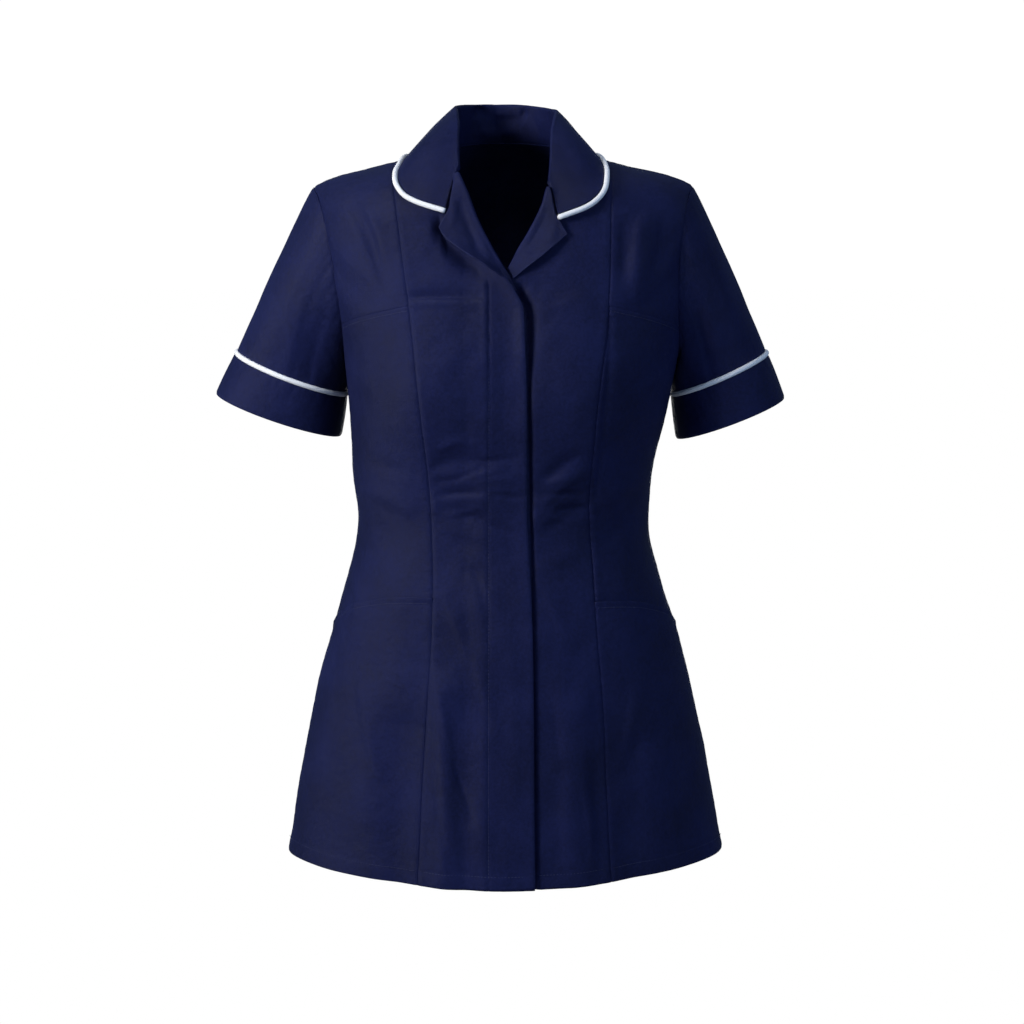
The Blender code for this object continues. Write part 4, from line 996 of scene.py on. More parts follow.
# The roll line: how far from the middle and how high it passes each bearing, in degrees from
# the front. The stand ends there, and the leaf turns down.
COLLAR_ROLL_LINE = {
    LEFT: table(
        "bearing radius height",
        (27.5, 0.0930, -0.0285), (35, 0.0793, -0.0040), (46, 0.0647, 0.0165),
        (61, 0.0560, 0.0290), (80, 0.0520, 0.0358), (100, 0.0530, 0.0400),
        (130, 0.0560, 0.0432), (155, 0.0590, 0.0460), (180, 0.0600, 0.0466),
    ),
    RIGHT: table(
        "bearing radius height",
        (30.5, 0.0845, -0.0145), (37.5, 0.0730, 0.0070), (49.5, 0.0586, 0.0255),
        (63, 0.0511, 0.0353), (80, 0.0475, 0.0403), (100, 0.0490, 0.0438),
        (130, 0.0540, 0.0461), (155, 0.0580, 0.0468), (180, 0.0600, 0.0466),
    ),
}
LEAF_EDGE = {
    LEFT: outline(
        (0.0522, -0.0600), (0.0655, -0.0560), (0.0790, -0.0512),
        (0.0882, -0.0447), (0.0938, -0.0370), (0.0957, -0.0280),
        (0.0955, -0.0190), (0.0922, -0.0115),
    ),
    RIGHT: outline(
        (-0.0550, -0.0543), (-0.0680, -0.0515), (-0.0807, -0.0480),
        (-0.0915, -0.0430), (-0.0980, -0.0365), (-0.1010, -0.0300),
        (-0.1010, -0.0225), (-0.0973, -0.0150),
    ),
}
LEAF_EDGE_TOP = {LEFT: 0.0870, RIGHT: -0.0915}
LEAF_EDGE_BACK = outline(
    (0.0875, -0.0165), (0.0785, -0.0230), (0.0640, -0.0268),
    (0.0420, -0.0240), (0.0200, -0.0200), (0.0000, -0.0185),
)
LEAF_LIFT, LEAF_LIFT_TOP, LEAF_TOP_DEPTH = 0.0056, 0.0062, 0.030
LEAF_CLEAR = 4.5 * SEAM_GAP      # from the leaf's edge to its piping
COLLAR_ROLL, COLLAR_SEAM_RISE, LEAF_BULGE = 0.0022, -0.0010, 0.04
COLLAR_ROLL_END = math.radians(35)
COLLAR_STATIONS, STAND_CELLS, ROLL_CELLS, LEAF_CELLS = 120, 16, 14, 34
COLLAR_CREASES = creases(
    BACK,
    (64, 37, 12, 26, -3, 5, 3.0, 0.3), (18, 25, -30, 24, 0, 5, 3.4, 0.3),
    (-26, 25, -38, 37, 0, 4, 3.0, 0.0), (52, 13, -22, 11, 2, 6, -2.2, 0.0),
    (-150, 60, -128, 88, 4, 6, 0.8, 0.2), (148, 62, 122, 90, -4, 6, 0.8, 0.2),
    (6, 0, 22, 42, 3, 5, 1.6, 0.5), (-40, 24, 4, 30, 2, 4, 1.0, 0.3),
    (30, 6, 58, 30, 3, 7, -1.0, 0.3), (-70, 8, -40, 40, -3, 7, 0.8, 0.2),
    (86, 44, 104, 92, 3, 9, 0.7, 0.2), (-92, 46, -112, 90, -3, 9, 0.7, 0.2),
)


def lapel_rise(side, share, up):
    """Height of a lapel above the cloth under it.

    share is 1 at its free edge and 0 at the roll line, and up is 0 at its lower end and 1 at
    the gorge. The lapel stands off by its fold's diameter and tilts up towards its free edge as
    share^1.7, both grown over the lower third, and the tilt shrinks again towards the gorge.
    """
    grown = 0.15 + 0.85 * smooth_step(up / 0.35)
    tilt = LAPEL_LIFT[side] * grown * (1 - 0.55 * smooth_step((up - 0.55) / 0.45))
    bow = 0.001 * grown * np.sin(math.pi * share)
    return grown, CLOTH + 2 * LAPEL_ROLL * grown * (1 - share) + tilt * share**1.7 + bow


def lapel_grid(side):
    """Under face of a lapel: from its edge to the roll line, and round the fold to the front.

    Its creases fade out towards its four edges.
    """
    start_row = BUST_ROW + int(round(GORGE_ROWS * LAPEL_START[side]))
    fine = resample(front_edge(side)[start_row:GORGE_ROW + 1], FINE_ROLL)
    roll = resample(fine[:-LAPEL_TRIM], LAPEL_ROWS + 1)
    edge = smooth_line(placed(LAPEL_EDGE[side][::-1]), LAPEL_ROWS + 1)
    bottom = resample([edge[0], roll[0]], LAPEL_COLUMNS + 1)
    top = resample([edge[-1], place(*LAPEL_NOTCH[side]), roll[-1]], LAPEL_COLUMNS + 1)
    places = patch(bottom, top, edge, roll, even)
    share, up = np.linspace(1, 0, LAPEL_COLUMNS + 1), even(LAPEL_ROWS + 1)[:, None]
    grown, rise = lapel_rise(side, share, up)
    points = torso(places)
    rumpled = creased(points[..., 0], points[..., 2], LAPEL_CREASES[side])
    away = np.clip(np.minimum(share, 1 - share) * 6, 0, 1) * np.clip(np.minimum(up, 1 - up) * 8, 0, 1)
    flat = lifted(places, FRONT_LIFT[side](places) + relief(places) + rise + rumpled * away)
    start = lifted(roll, FRONT_LIFT[side](roll) + relief(roll))
    normal = outward(roll)
    open_side = -side * unit(np.cross(unit(np.gradient(start, axis=0)), normal))
    turns = np.linspace(math.pi, 0, LAPEL_ROLL_CELLS + 1)[None, :, None]
    radius = LAPEL_ROLL * grown[:, :, None]
    fold = (start[:, None] + (2 * SEAM_GAP + radius * np.sin(turns)) * open_side[:, None]
            + (CLOTH + radius * (1 - np.cos(turns))) * normal[:, None])
    return towards_left(side == RIGHT, np.concatenate([flat[:, :-1], fold], axis=1))


def neck_seam():
    """Points of the neckline all round, from the wearer's left gorge to the right one."""
    left, right = smooth_line(front_neck(LEFT), FINE_NECK), smooth_line(front_neck(RIGHT)[::-1], FINE_NECK)
    places = np.concatenate([left[:-1], back_neck(FINE_COLLAR_NAPE), right[1:]])
    return lifted(places, np.full(len(places), CLOTH)) + [0, 0, COLLAR_SEAM_RISE]


def leaf_edge():
    """Points of the leaf's edge all round: on the shoulders' cloth, moved out, a little more on top."""
    halves = []
    for side in (LEFT, RIGHT):
        top = shoulder_place(LEAF_EDGE_TOP[side])
        front = np.concatenate([placed(LEAF_EDGE[side]), [top]])
        back = np.concatenate([[back_of([abs(top[0]), top[1]])], back_of(placed(LEAF_EDGE_BACK))])
        back[:, 0] *= side
        places = np.concatenate([smooth_line(front, FINE_LEAF), smooth_line(back, FINE_LEAF)[1:]])
        high = hump(torso(places)[:, 1], LEAF_TOP_DEPTH)
        halves.append(lifted(places, LEAF_LIFT + (LEAF_LIFT_TOP - LEAF_LIFT) * high))
    return np.concatenate([halves[0], halves[1][-2::-1]])


def at_bearings(bearings, line):
    """Points where a line round the neck passes the bearings."""
    return along_line(line, np.unwrap(np.arctan2(line[:, 0], -line[:, 1])), bearings)


def collar_roll():
    """Bearings, radii and heights of the roll line all round, from the left end to the right one."""
    halves = []
    for side in (LEFT, RIGHT):
        rows = COLLAR_ROLL_LINE[side]
        degrees = np.linspace(rows[0].bearing, 180, COLLAR_STATIONS + 1)
        if side == RIGHT:
            degrees = degrees[::-1][1:]
        bearings = np.radians(degrees if side == LEFT else 360 - degrees)
        halves.append([bearings, read(rows, "radius", degrees), read(rows, "height", degrees)])
    return np.concatenate(halves, axis=1)


def collar_grid():
    """Under face of the collar, from the neck seam over the roll to the leaf's edge.

    At each bearing the stand is a straight line, the roll an arc of radius COLLAR_ROLL, and the
    leaf a line that bows out by 4 bulge s (1 - s)^1.5 of its width.
    """
    bearings, radius, height = collar_roll()
    seam, edge = at_bearings(bearings, neck_seam()), at_bearings(bearings, leaf_edge())
    radial = np.stack([np.sin(bearings), -np.cos(bearings), 0 * bearings], axis=-1)
    up = np.array([0.0, 0.0, 1.0])
    middle = radius[:, None] * radial + (height - COLLAR_ROLL)[:, None] * up
    share = even(STAND_CELLS + 1)[:, None, None]
    stand = seam * (1 - share) + (middle - COLLAR_ROLL * radial) * share
    turns = np.linspace(math.pi, COLLAR_ROLL_END, ROLL_CELLS + 1)[1:, None, None]
    fold = middle + COLLAR_ROLL * (np.cos(turns) * radial + np.sin(turns) * up)
    share = even(LEAF_CELLS + 1)[:, None, None]
    width = edge - fold[-1]
    square = (width * radial).sum(-1, keepdims=True) * up - width[:, 2:] * radial
    leaf = fold[-1] * (1 - share) + edge * share + 4 * LEAF_BULGE * share * (1 - share)**1.5 * square
    return np.concatenate([stand, fold, leaf[1:]])


def collar_cloth(grid):
    """The collar with its creases and slack, turned in and puckered at the leaf's edge, and its wear.

    The relief fades out within 6 mm of the neck seam and the edge, and over the last ten columns.
    """
    up, along = lengths_along(grid, 0), lengths_along(grid[-1], 0)
    along = np.broadcast_to((along - along[-1] / 2)[None], grid.shape[:2])
    left = up[-1:] - up
    lift = creased(along, up, COLLAR_CREASES) + 0.6 * waves(along, up + 0.2)
    lift -= 0.0006 * hump(left, 0.0014)
    lift += puckers(left, along, 3, depth=0.0002, reach=0.006, clear=0.002)
    columns = np.arange(grid.shape[1])
    fade = rising(np.minimum(up, left), 0.006) * rising(np.minimum(columns, columns[::-1]), 10)
    return grid + (lift * fade)[..., None] * grid_normals(grid), 0.8 * hump(left, 0.0015)


def collar_piping_line(grid):
    """The line of the leaf's piping: just clear of the edge, half a cloth's thickness up."""
    out = unit(grid[-1] - grid[-2])
    up = unit(np.cross(out, unit(np.gradient(grid[-1], axis=0))))
    return grid[-1] + (PIPING_RADIUS + LEAF_CLEAR) * out + CLOTH / 2 * up


# Meshes
def quad_mesh(name, points, corners, uv, masks=None):
    """A mesh from arrays of points, four-cornered faces and their UV places, in metres."""
    mesh = bpy.data.meshes.new(name)
    mesh.vertices.add(len(points))
    mesh.vertices.foreach_set("co", np.ascontiguousarray(points, np.float32).ravel())
    mesh.loops.add(corners.size)
    mesh.loops.foreach_set("vertex_index", np.ascontiguousarray(corners, np.int32).ravel())
    mesh.polygons.add(len(corners))
    mesh.polygons.foreach_set("loop_start", np.arange(0, corners.size, 4, dtype=np.int32))
    mesh.update(calc_edges=True)
    mesh.validate()
    mesh.shade_smooth()
    layer = mesh.uv_layers.new(name="cloth_uv")
    layer.data.foreach_set("uv", np.ascontiguousarray(uv, np.float32).ravel())
    for mask, values in (masks or {}).items():
        made = mesh.attributes.new(mask, "FLOAT", "POINT")
        made.data.foreach_set("value", np.ascontiguousarray(values, np.float32).ravel())
    return mesh


def at_corners(u, v):
    """UV places of every face's corners, from those of a grid's points."""
    low, high = slice(None, -1), slice(1, None)
    pick = [(low, low), (low, high), (high, high), (high, low)]
    return np.stack([np.stack([u[p], v[p]], -1) for p in pick], axis=-2).reshape(-1, 2)


def grid_mesh(name, grid, closed=False, masks=None):
    """A mesh from a grid of points, with a UV map: length across from the middle, and length up."""
    rows, columns = grid.shape[:2]
    number = np.arange(rows * columns).reshape(rows, columns)
    spans = columns if closed else columns - 1
    after = np.roll(number, -1, axis=1)
    corners = np.stack([number[:-1, :spans], after[:-1, :spans], after[1:, :spans], number[1:, :spans]], -1)
    wrapped = np.concatenate([grid, grid[:, :1]], axis=1) if closed else grid
    u, v = lengths_along(wrapped, 1), lengths_along(wrapped, 0)
    uv = at_corners(u - u[:, -1:] / 2, v)
    return quad_mesh(name, grid.reshape(-1, 3), corners.reshape(-1, 4), uv, masks)


def made_piece(name, mesh, finish, node=None):
    """An object at the origin, which rides on the tunic's one body and may replace a node."""
    piece = bpy.data.objects.new(name, mesh)
    bpy.context.scene.collection.objects.link(piece)
    piece.data.materials.append(finish_of(finish))
    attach(piece, "root")
    if node:
        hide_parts(node)
    return piece


def cloth_piece(node, grid, worn, wall=None, closed=False):
    """A cut piece: the grid is its inner face, and Solidify makes the wall outside it."""
    name = f"{node}_cloth"
    piece = made_piece(name, grid_mesh(name, grid, closed, {"worn": worn}), "navy_twill", node)
    wall_maker = piece.modifiers.new("Wall", "SOLIDIFY")
    wall_maker.thickness = wall or bpy.context.scene.tunic_cloth.wall
    wall_maker.offset = 1
    return piece


CORD_SIDES, CORD_END = 20, 0.0004   # sides of a cord, and how far its tips reach past its line


def tube(line, radius, sides, closed):
    """Points of a round tube along a line: a circle in the plane square to it at each point."""
    along = np.roll(line, -1, axis=0) - np.roll(line, 1, axis=0) if closed else np.gradient(line, axis=0)
    along = unit(along)
    side = unit(np.cross(along, np.array([0.13, 0.21, 0.97])))
    up = np.cross(side, along)
    angle = 2 * math.pi * np.linspace(0, 1, sides, endpoint=False)[:, None, None]
    radius = np.broadcast_to(radius, (len(line),))[None, :, None]
    return line + radius * (np.cos(angle) * side + np.sin(angle) * up)


def cord_mesh(name, line, radius, closed):
    """A tube mesh, closed on itself, or drawn in to half its radius and shut at both ends."""
    radii = np.full(len(line), radius)
    if not closed:
        before = line[0] - CORD_END * unit(line[1] - line[0])
        after = line[-1] + CORD_END * unit(line[-1] - line[-2])
        line, radii = np.concatenate([[before], line, [after]]), np.pad(radii, 1, constant_values=radius / 2)
    ring = tube(line, radii, CORD_SIDES, closed)
    number = np.arange(CORD_SIDES * len(line)).reshape(CORD_SIDES, len(line))
    spans = len(line) if closed else len(line) - 1
    ahead, around = np.roll(number, -1, axis=1), np.roll(number, -1, axis=0)
    corners = np.stack([number, ahead, np.roll(around, -1, axis=1), around], -1)[:, :spans]
    lengths = lengths_along(np.concatenate([line, line[:1]]) if closed else line, 0)
    u = np.broadcast_to(lengths, (CORD_SIDES + 1, spans + 1))
    v = np.broadcast_to(np.arange(CORD_SIDES + 1)[:, None] * 2 * math.pi * radius / CORD_SIDES, u.shape)
    mesh = quad_mesh(name, ring.reshape(-1, 3), corners.reshape(-1, 4), at_corners(u, v))
    if not closed:
        close_ends(mesh, number[:, 0], number[:, -1])
    return mesh


def close_ends(mesh, first, last):
    """Closes a tube's two ends, each with one face that points away from the tube."""
    editable = bmesh.new()
    editable.from_mesh(mesh)
    editable.verts.ensure_lookup_table()
    for loop in (first, last):
        editable.faces.new([editable.verts[int(i)] for i in loop])
    bmesh.ops.recalc_face_normals(editable, faces=editable.faces)
    editable.to_mesh(mesh)
    editable.free()
    mesh.shade_smooth()


def piping_piece(node, line, closed):
    """A cord covered with a bias strip."""
    name = f"{node}_cord"
    mesh = cord_mesh(name, line, bpy.context.scene.tunic_trim.piping_radius, closed)
    return made_piece(name, mesh, "white_bias", node)


STITCH_STATIONS, STITCH_SIDES = 5, 6
STITCH_CAPS = {0: ([3, 2, 1, 0], [5, 4, 3, 0]), STITCH_STATIONS - 1: ([0, 1, 2, 3], [0, 3, 4, 5])}


def stitch_places(runs, length, gap):
    """Starts, middles and ends of the stitches along the runs, and the cloth's normals there."""
    found = []
    for points, normals in runs:
        lengths = lengths_along(points, 0)
        at = (np.arange(int(lengths[-1] / (length + gap))) + 0.5) * (length + gap)
        places = [along_line(points, lengths, at + shift * length) for shift in (-0.5, 0, 0.5)]
        found.append([*places, unit(along_line(normals, lengths, at))])
    return np.concatenate(found, axis=1)[:, :, None]


def stitch_mesh(name, runs, length, gap, thickness):
    """Lines of stitches, each a bent bead of thread: six-sided rings at five stations, sunk at both ends.

    runs are (points, normals) of lines on the cloth. The bead's middle line stands off the
    cloth by thickness (0.55 sin(pi s) - 0.25).
    """
    start, middle, end, up = stitch_places(runs, length, gap)
    s = even(STITCH_STATIONS)[None, :, None]
    arch = np.sin(math.pi * s)
    line = (1 - s)**2 * start + 2 * s * (1 - s) * middle + s**2 * end + thickness * (0.55 * arch - 0.25) * up
    side = unit(np.cross(unit(end - start), up))[:, None]
    angle = (2 * math.pi * np.arange(STITCH_SIDES) / STITCH_SIDES)[:, None]
    width = (thickness / 2 * (0.55 + 0.45 * arch))[..., None]
    ring = line[:, :, None] + width * (np.cos(angle) * side + np.sin(angle) * up[:, None])
    number = np.arange(ring[..., 0].size).reshape(ring.shape[:3])
    after = np.roll(number, -1, axis=2)
    faces = [np.stack([number[:, :-1], after[:, :-1], after[:, 1:], number[:, 1:]], -1).reshape(-1, 4)]
    faces += [number[:, station][:, cap] for station, caps in STITCH_CAPS.items() for cap in caps]
    corners = np.concatenate(faces)
    u = np.broadcast_to(np.arange(STITCH_SIDES) * thickness / 2, number.shape).reshape(-1)
    steps = np.arange(STITCH_STATIONS)[:, None] * length / (STITCH_STATIONS - 1)
    v = np.broadcast_to(steps, number.shape).reshape(-1)
    uv = np.stack([u[corners], v[corners]], -1).reshape(-1, 2)
    return quad_mesh(name, ring.reshape(-1, 3), corners, uv)


# Finishes
def add_node(tree, kind, fed=(), **settings):
    """A shader node with its settings. fed maps its inputs to the values or sockets they take."""
    made = tree.nodes.new(kind)
    for key, value in settings.items():
        setattr(made, key, value)
    feed(tree, made, fed)
    return made


def feed(tree, node, fed):
    """Sets a node's inputs to values, or links them to sockets."""
    for key, value in dict(fed).items():
        if isinstance(value, bpy.types.NodeSocket):
            tree.links.new(value, node.inputs[key])
        else:
            node.inputs[key].default_value = value


def maths(tree, operation, *values):
    """Output socket of a Math node on sockets or numbers."""
    return add_node(tree, "ShaderNodeMath", enumerate(values), operation=operation).outputs[0]


def mix_colour(tree, share, first, second):
    """Output socket of a mix of two colours, given as sockets or tuples, by a share."""
    return add_node(tree, "ShaderNodeMix", {0: share, 6: first, 7: second}, data_type="RGBA").outputs[2]


def noise(tree, place_of, scale, detail, roughness):
    """Output socket of fractal noise between 0 and 1."""
    fed = {"Vector": place_of, "Scale": scale, "Detail": detail, "Roughness": roughness}
    return add_node(tree, "ShaderNodeTexNoise", fed).outputs["Fac"]


def new_group(name, inputs, outputs):
    """A shader node group with named sockets, the outputs of its input node, and its output node."""
    group = bpy.data.node_groups.new(name, "ShaderNodeTree")
    for way, sockets in (("INPUT", inputs), ("OUTPUT", outputs)):
        for socket, kind in sockets.items():
            group.interface.new_socket(socket, in_out=way, socket_type=f"NodeSocket{kind}")
    return group, group.nodes.new("NodeGroupInput").outputs, group.nodes.new("NodeGroupOutput")


def twill_group():
    """Twill weave: a diagonal rib sin(2 pi (u + 1.6 v) / pitch), broken by the yarns across it.

    The yarns are sin(3 pi v / pitch), and noise makes the ribs a little uneven.
    """
    tree, given, end = new_group("twill_weave", {"Place": "Vector", "Pitch": "Float"},
                                 {"Height": "Float", "Rib": "Float"})
    u, v, _ = add_node(tree, "ShaderNodeSeparateXYZ", {0: given["Place"]}).outputs
    wobble = maths(tree, "SUBTRACT", noise(tree, given["Place"], scale=900.0, detail=1.0, roughness=0.5), 0.5)
    slant = maths(tree, "ADD", maths(tree, "ADD", u, maths(tree, "MULTIPLY", v, 1.6)),
                  maths(tree, "MULTIPLY", wobble, 0.0004))
    turns = maths(tree, "MULTIPLY", maths(tree, "DIVIDE", slant, given["Pitch"]), 2 * math.pi)
    rib = maths(tree, "MULTIPLY_ADD", maths(tree, "SINE", turns), 0.5, 0.5)
    across = maths(tree, "MULTIPLY", maths(tree, "DIVIDE", v, given["Pitch"]), 3 * math.pi)
    yarn = maths(tree, "MULTIPLY_ADD", maths(tree, "SINE", across), 0.22, 0.78)
    feed(tree, end, {"Height": maths(tree, "MULTIPLY", rib, yarn), "Rib": rib})


def wear_group():
    """Uneven wear: a mask of rubbed edges times fine noise, and a shade from broad and fine noise."""
    tree, given, end = new_group("cloth_wear", {"Place": "Vector", "Rubbed": "Float"},
                                 {"Wear": "Float", "Shade": "Float"})
    broad = noise(tree, given["Place"], scale=16.0, detail=3.0, roughness=0.55)
    fine = noise(tree, given["Place"], scale=340.0, detail=3.0, roughness=0.65)
    speckle = maths(tree, "MULTIPLY_ADD", maths(tree, "SUBTRACT", fine, 0.5), 1.4, 0.6)
    wear = add_node(tree, "ShaderNodeClamp", {0: maths(tree, "MULTIPLY", given["Rubbed"], speckle)})
    mixed = maths(tree, "MULTIPLY_ADD", broad, 0.5, maths(tree, "MULTIPLY", fine, 0.5))
    shade = add_node(tree, "ShaderNodeMapRange", {0: mixed, "From Min": 0.38, "From Max": 0.62})
    feed(tree, end, {"Wear": wear.outputs[0], "Shade": shade.outputs[0]})


Weave = namedtuple("Weave", "dark light worn pitch weave_depth rumple_depth roughness gloss sheen sheen_tint")
WEAR_SHARE = 0.55                # how far rubbed edges go to the worn shade


def cloth_material(name, weave):
    """Woven cloth: twill bump, thread colour between two shades, rubbed edges and a low sheen.

    Colour is mix(dark, light) * (0.80 + 0.24 rib), mixed with the worn shade where it is rubbed,
    and the bump of the weave stands on a softer bump of small rumples.
    """
    made = bpy.data.materials.new(name)
    made.use_nodes = True
    tree = made.node_tree
    on_cloth = add_node(tree, "ShaderNodeUVMap", uv_map="cloth_uv").outputs[0]
    on_piece = tree.nodes.new("ShaderNodeTexCoord").outputs["Object"]
    rubbed_edges = add_node(tree, "ShaderNodeAttribute", attribute_name="worn").outputs["Fac"]
    twill = add_node(tree, "ShaderNodeGroup", {"Place": on_cloth, "Pitch": weave.pitch},
                     node_tree=bpy.data.node_groups["twill_weave"]).outputs
    wear = add_node(tree, "ShaderNodeGroup", {"Place": on_piece, "Rubbed": rubbed_edges},
                    node_tree=bpy.data.node_groups["cloth_wear"]).outputs
    thread = mix_colour(tree, wear["Shade"], (*weave.dark, 1), (*weave.light, 1))
    shade = maths(tree, "MULTIPLY_ADD", twill["Rib"], 0.24, 0.80)
    ribbed = add_node(tree, "ShaderNodeVectorMath", {0: thread, "Scale": shade}, operation="SCALE").outputs[0]
    share = maths(tree, "MULTIPLY", wear["Wear"], WEAR_SHARE)
    rumpled = noise(tree, on_piece, scale=48.0, detail=5.0, roughness=0.52)
    rumples = add_node(tree, "ShaderNodeBump", {"Distance": weave.rumple_depth, "Height": rumpled}).outputs[0]
    ribs = add_node(tree, "ShaderNodeBump", {
        "Distance": weave.weave_depth, "Height": twill["Height"], "Normal": rumples}).outputs[0]
    feed(tree, tree.nodes["Principled BSDF"], {
        "Base Color": mix_colour(tree, share, ribbed, (*weave.worn, 1)),
        "Roughness": maths(tree, "MULTIPLY_ADD", wear["Shade"], 0.10, weave.roughness - 0.05),
        "Specular IOR Level": weave.gloss, "Sheen Weight": weave.sheen, "Sheen Roughness": 0.45,
        "Sheen Tint": (*weave.sheen_tint, 1), "Normal": ribs,
    })


def finish_of(name):
    """A finish by name, made once from the tunic's properties."""
    cloth, trim = bpy.context.scene.tunic_cloth, bpy.context.scene.tunic_trim
    weaves = {
        "navy_twill": Weave(cloth.shade_dark, cloth.shade_light, cloth.shade_worn, cloth.weave_pitch,
                            cloth.weave_depth, cloth.rumple_depth,
                            roughness=0.62, gloss=0.16, sheen=0.02, sheen_tint=(0.35, 0.42, 0.75)),
        "white_bias": Weave(trim.piping_shade, trim.piping_light, trim.piping_worn, trim.piping_pitch,
                            weave_depth=0.00006, rumple_depth=0.0004,
                            roughness=0.70, gloss=0.25, sheen=0.10, sheen_tint=(1.0, 1.0, 1.0)),
        "navy_thread": Weave(trim.thread_dark, trim.thread_light, trim.thread_light,
                             pitch=0.0004, weave_depth=0.00005, rumple_depth=0.0001,
                             roughness=0.50, gloss=0.30, sheen=0.05, sheen_tint=(0.5, 0.6, 0.9)),
    }
    if "twill_weave" not in bpy.data.node_groups:
        twill_group()
        wear_group()
    if name not in bpy.data.materials:
        cloth_material(name, weaves[name])
    return bpy.data.materials[name]


# Values that a user would change
def length_value(name, default, description):
    """A length in metres."""
    return bpy.props.FloatProperty(name=name, description=description, default=default, min=0, max=1,
                                   subtype="DISTANCE", unit="LENGTH", precision=5)


def colour_value(name, default, description):
    """A colour as red, green and blue shares."""
    return bpy.props.FloatVectorProperty(name=name, description=description, default=default, size=3,
                                         min=0, max=1, subtype="COLOR")


def share_value(name, default, description, high=2.0):
    """A number from 0 up, 1 for the whole."""
    return bpy.props.FloatProperty(name=name, description=description, default=default, min=0, max=high,
                                   subtype="FACTOR")


def power_value(name, default, lamp):
    """The power of a lamp, in watts."""
    return bpy.props.FloatProperty(name=name, description=f"Power of the {lamp}, in watts",
                                   default=default, min=0)


class TUNIC_PG_cloth(bpy.types.PropertyGroup):
    """Cloth of the tunic."""
    wall: length_value("Wall", CLOTH, "Thickness of one piece of cloth")
    cuff_wall: length_value("Cuff wall", 0.0018, "Thickness of a cuff's outer cloth")
    crease_depth: share_value("Crease depth", 1.0, "How deep the listed creases are")
    slack: share_value("Slack", 1.0, "How much the cloth waves between its creases")
    shade_dark: colour_value("Dark thread", (0.0017, 0.0036, 0.0315), "Darker navy of the twill")
    shade_light: colour_value("Light thread", (0.0055, 0.0090, 0.058), "Lighter navy of the twill")
    shade_worn: colour_value("Worn thread", (0.020, 0.026, 0.090), "Navy where edges are rubbed")
    weave_pitch: length_value("Weave pitch", 0.0008, "Distance from one twill rib to the next")
    weave_depth: length_value("Weave depth", 0.00010, "How far a rib stands above the cloth")
    rumple_depth: length_value("Rumple depth", 0.0015, "How deep the cloth's small rumples are")


class TUNIC_PG_trim(bpy.types.PropertyGroup):
    """Piping and stitching."""
    piping_radius: length_value("Piping radius", PIPING_RADIUS, "Half the thickness of the piping")
    piping_shade: colour_value("Piping shade", (0.78, 0.78, 0.80), "White of the bias strip")
    piping_light: colour_value("Piping light", (0.88, 0.88, 0.89), "Lighter white of the bias strip")
    piping_worn: colour_value("Piping worn", (0.70, 0.69, 0.68), "White where it is rubbed")
    piping_pitch: length_value("Piping weave", 0.0006, "Distance from one rib of the strip to the next")
    thread_dark: colour_value("Thread dark", (0.012, 0.015, 0.055), "Darker side of the sewing thread")
    thread_light: colour_value("Thread light", (0.026, 0.032, 0.095), "Lighter side of the sewing thread")
    stitch_length: length_value("Stitch length", 0.0026, "Length of one stitch")
    stitch_gap: length_value("Stitch gap", 0.0007, "Gap between two stitches")
    thread_thickness: length_value("Thread thickness", 0.00045, "Thickness of the sewing thread")


class TUNIC_PG_stage(bpy.types.PropertyGroup):
    """Floor, light and camera."""
    floor_height: bpy.props.FloatProperty(name="Floor height", description="Height of the floor",
                                          default=-1.45, subtype="DISTANCE", unit="LENGTH")
    floor_colour: colour_value("Floor colour", (1.0, 1.0, 1.0), "Colour of the pale floor")
    floor_bounce: share_value("Floor bounce", 0.30, "Share of its light that the floor throws back up")
    surround_tint: colour_value("Surround tint", (0.50, 0.68, 1.0), "Colour of the soft light from all round")
    surround: share_value("Surround", 0.26, "Strength of the soft light from all round", 4.0)
    key_power: power_value("Key light", 39, "main light")
    top_power: power_value("Top light", 5, "light above")
    back_power: power_value("Back light", 32, "light behind")
    fill_power: power_value("Fill light", 21, "fill light")


# Operators
def panel_grid(places, lift, edges):
    """Inner face of a panel: the torso with its relief, the lift of its layer and its seams."""
    return trimmed(lifted(places, lift + relief(places) + sewn_down(torso(places), edges)))


def front_cloth(side):
    """A centre front's grid and wear: its open edge turns in, and the placket's edge rolls up.

    The turn is -0.7 mm exp(-(d / 1.2 mm)^2), with a slight waver. The roll of the right front is
    a hump 8.5 mm wide, 1 mm high below the bust and 4 mm above it.
    """
    places = front_panel(side)
    seam, free = ("first", "last") if side == RIGHT else ("last", "first")
    points = torso(places)
    d, length = edge_lengths(points)[free]
    edge = 0.00015 * uneven(0.5 * length, 2) * np.exp(-d / 0.006) - 0.0007 * hump(d, 0.0012)
    if side == RIGHT:
        rolled = 0.0010 + 0.0030 * smooth_step(places[..., 1], *EDGE_ROLLS)
        edge = edge + rolled * hump(d, 0.0085) + under_lapel(places)
    else:
        edge = edge + fallen_away(places)
    grid = panel_grid(places, FRONT_LIFT[side](places) + edge, {seam: 1.4, "top": 1})
    return grid, rubbed(points, (free, "bottom", seam), 0.3)


class TUNIC_OT_fronts(bpy.types.Operator):
    """Builds the two centre fronts, the right one over the left with its placket."""
    bl_idname = "tunic.fronts"
    bl_label = "Fronts"

    def execute(self, context):
        for side, word in WORD.items():
            piece = cloth_piece(f"front_{word}", *front_cloth(side))
        return {"FINISHED"}


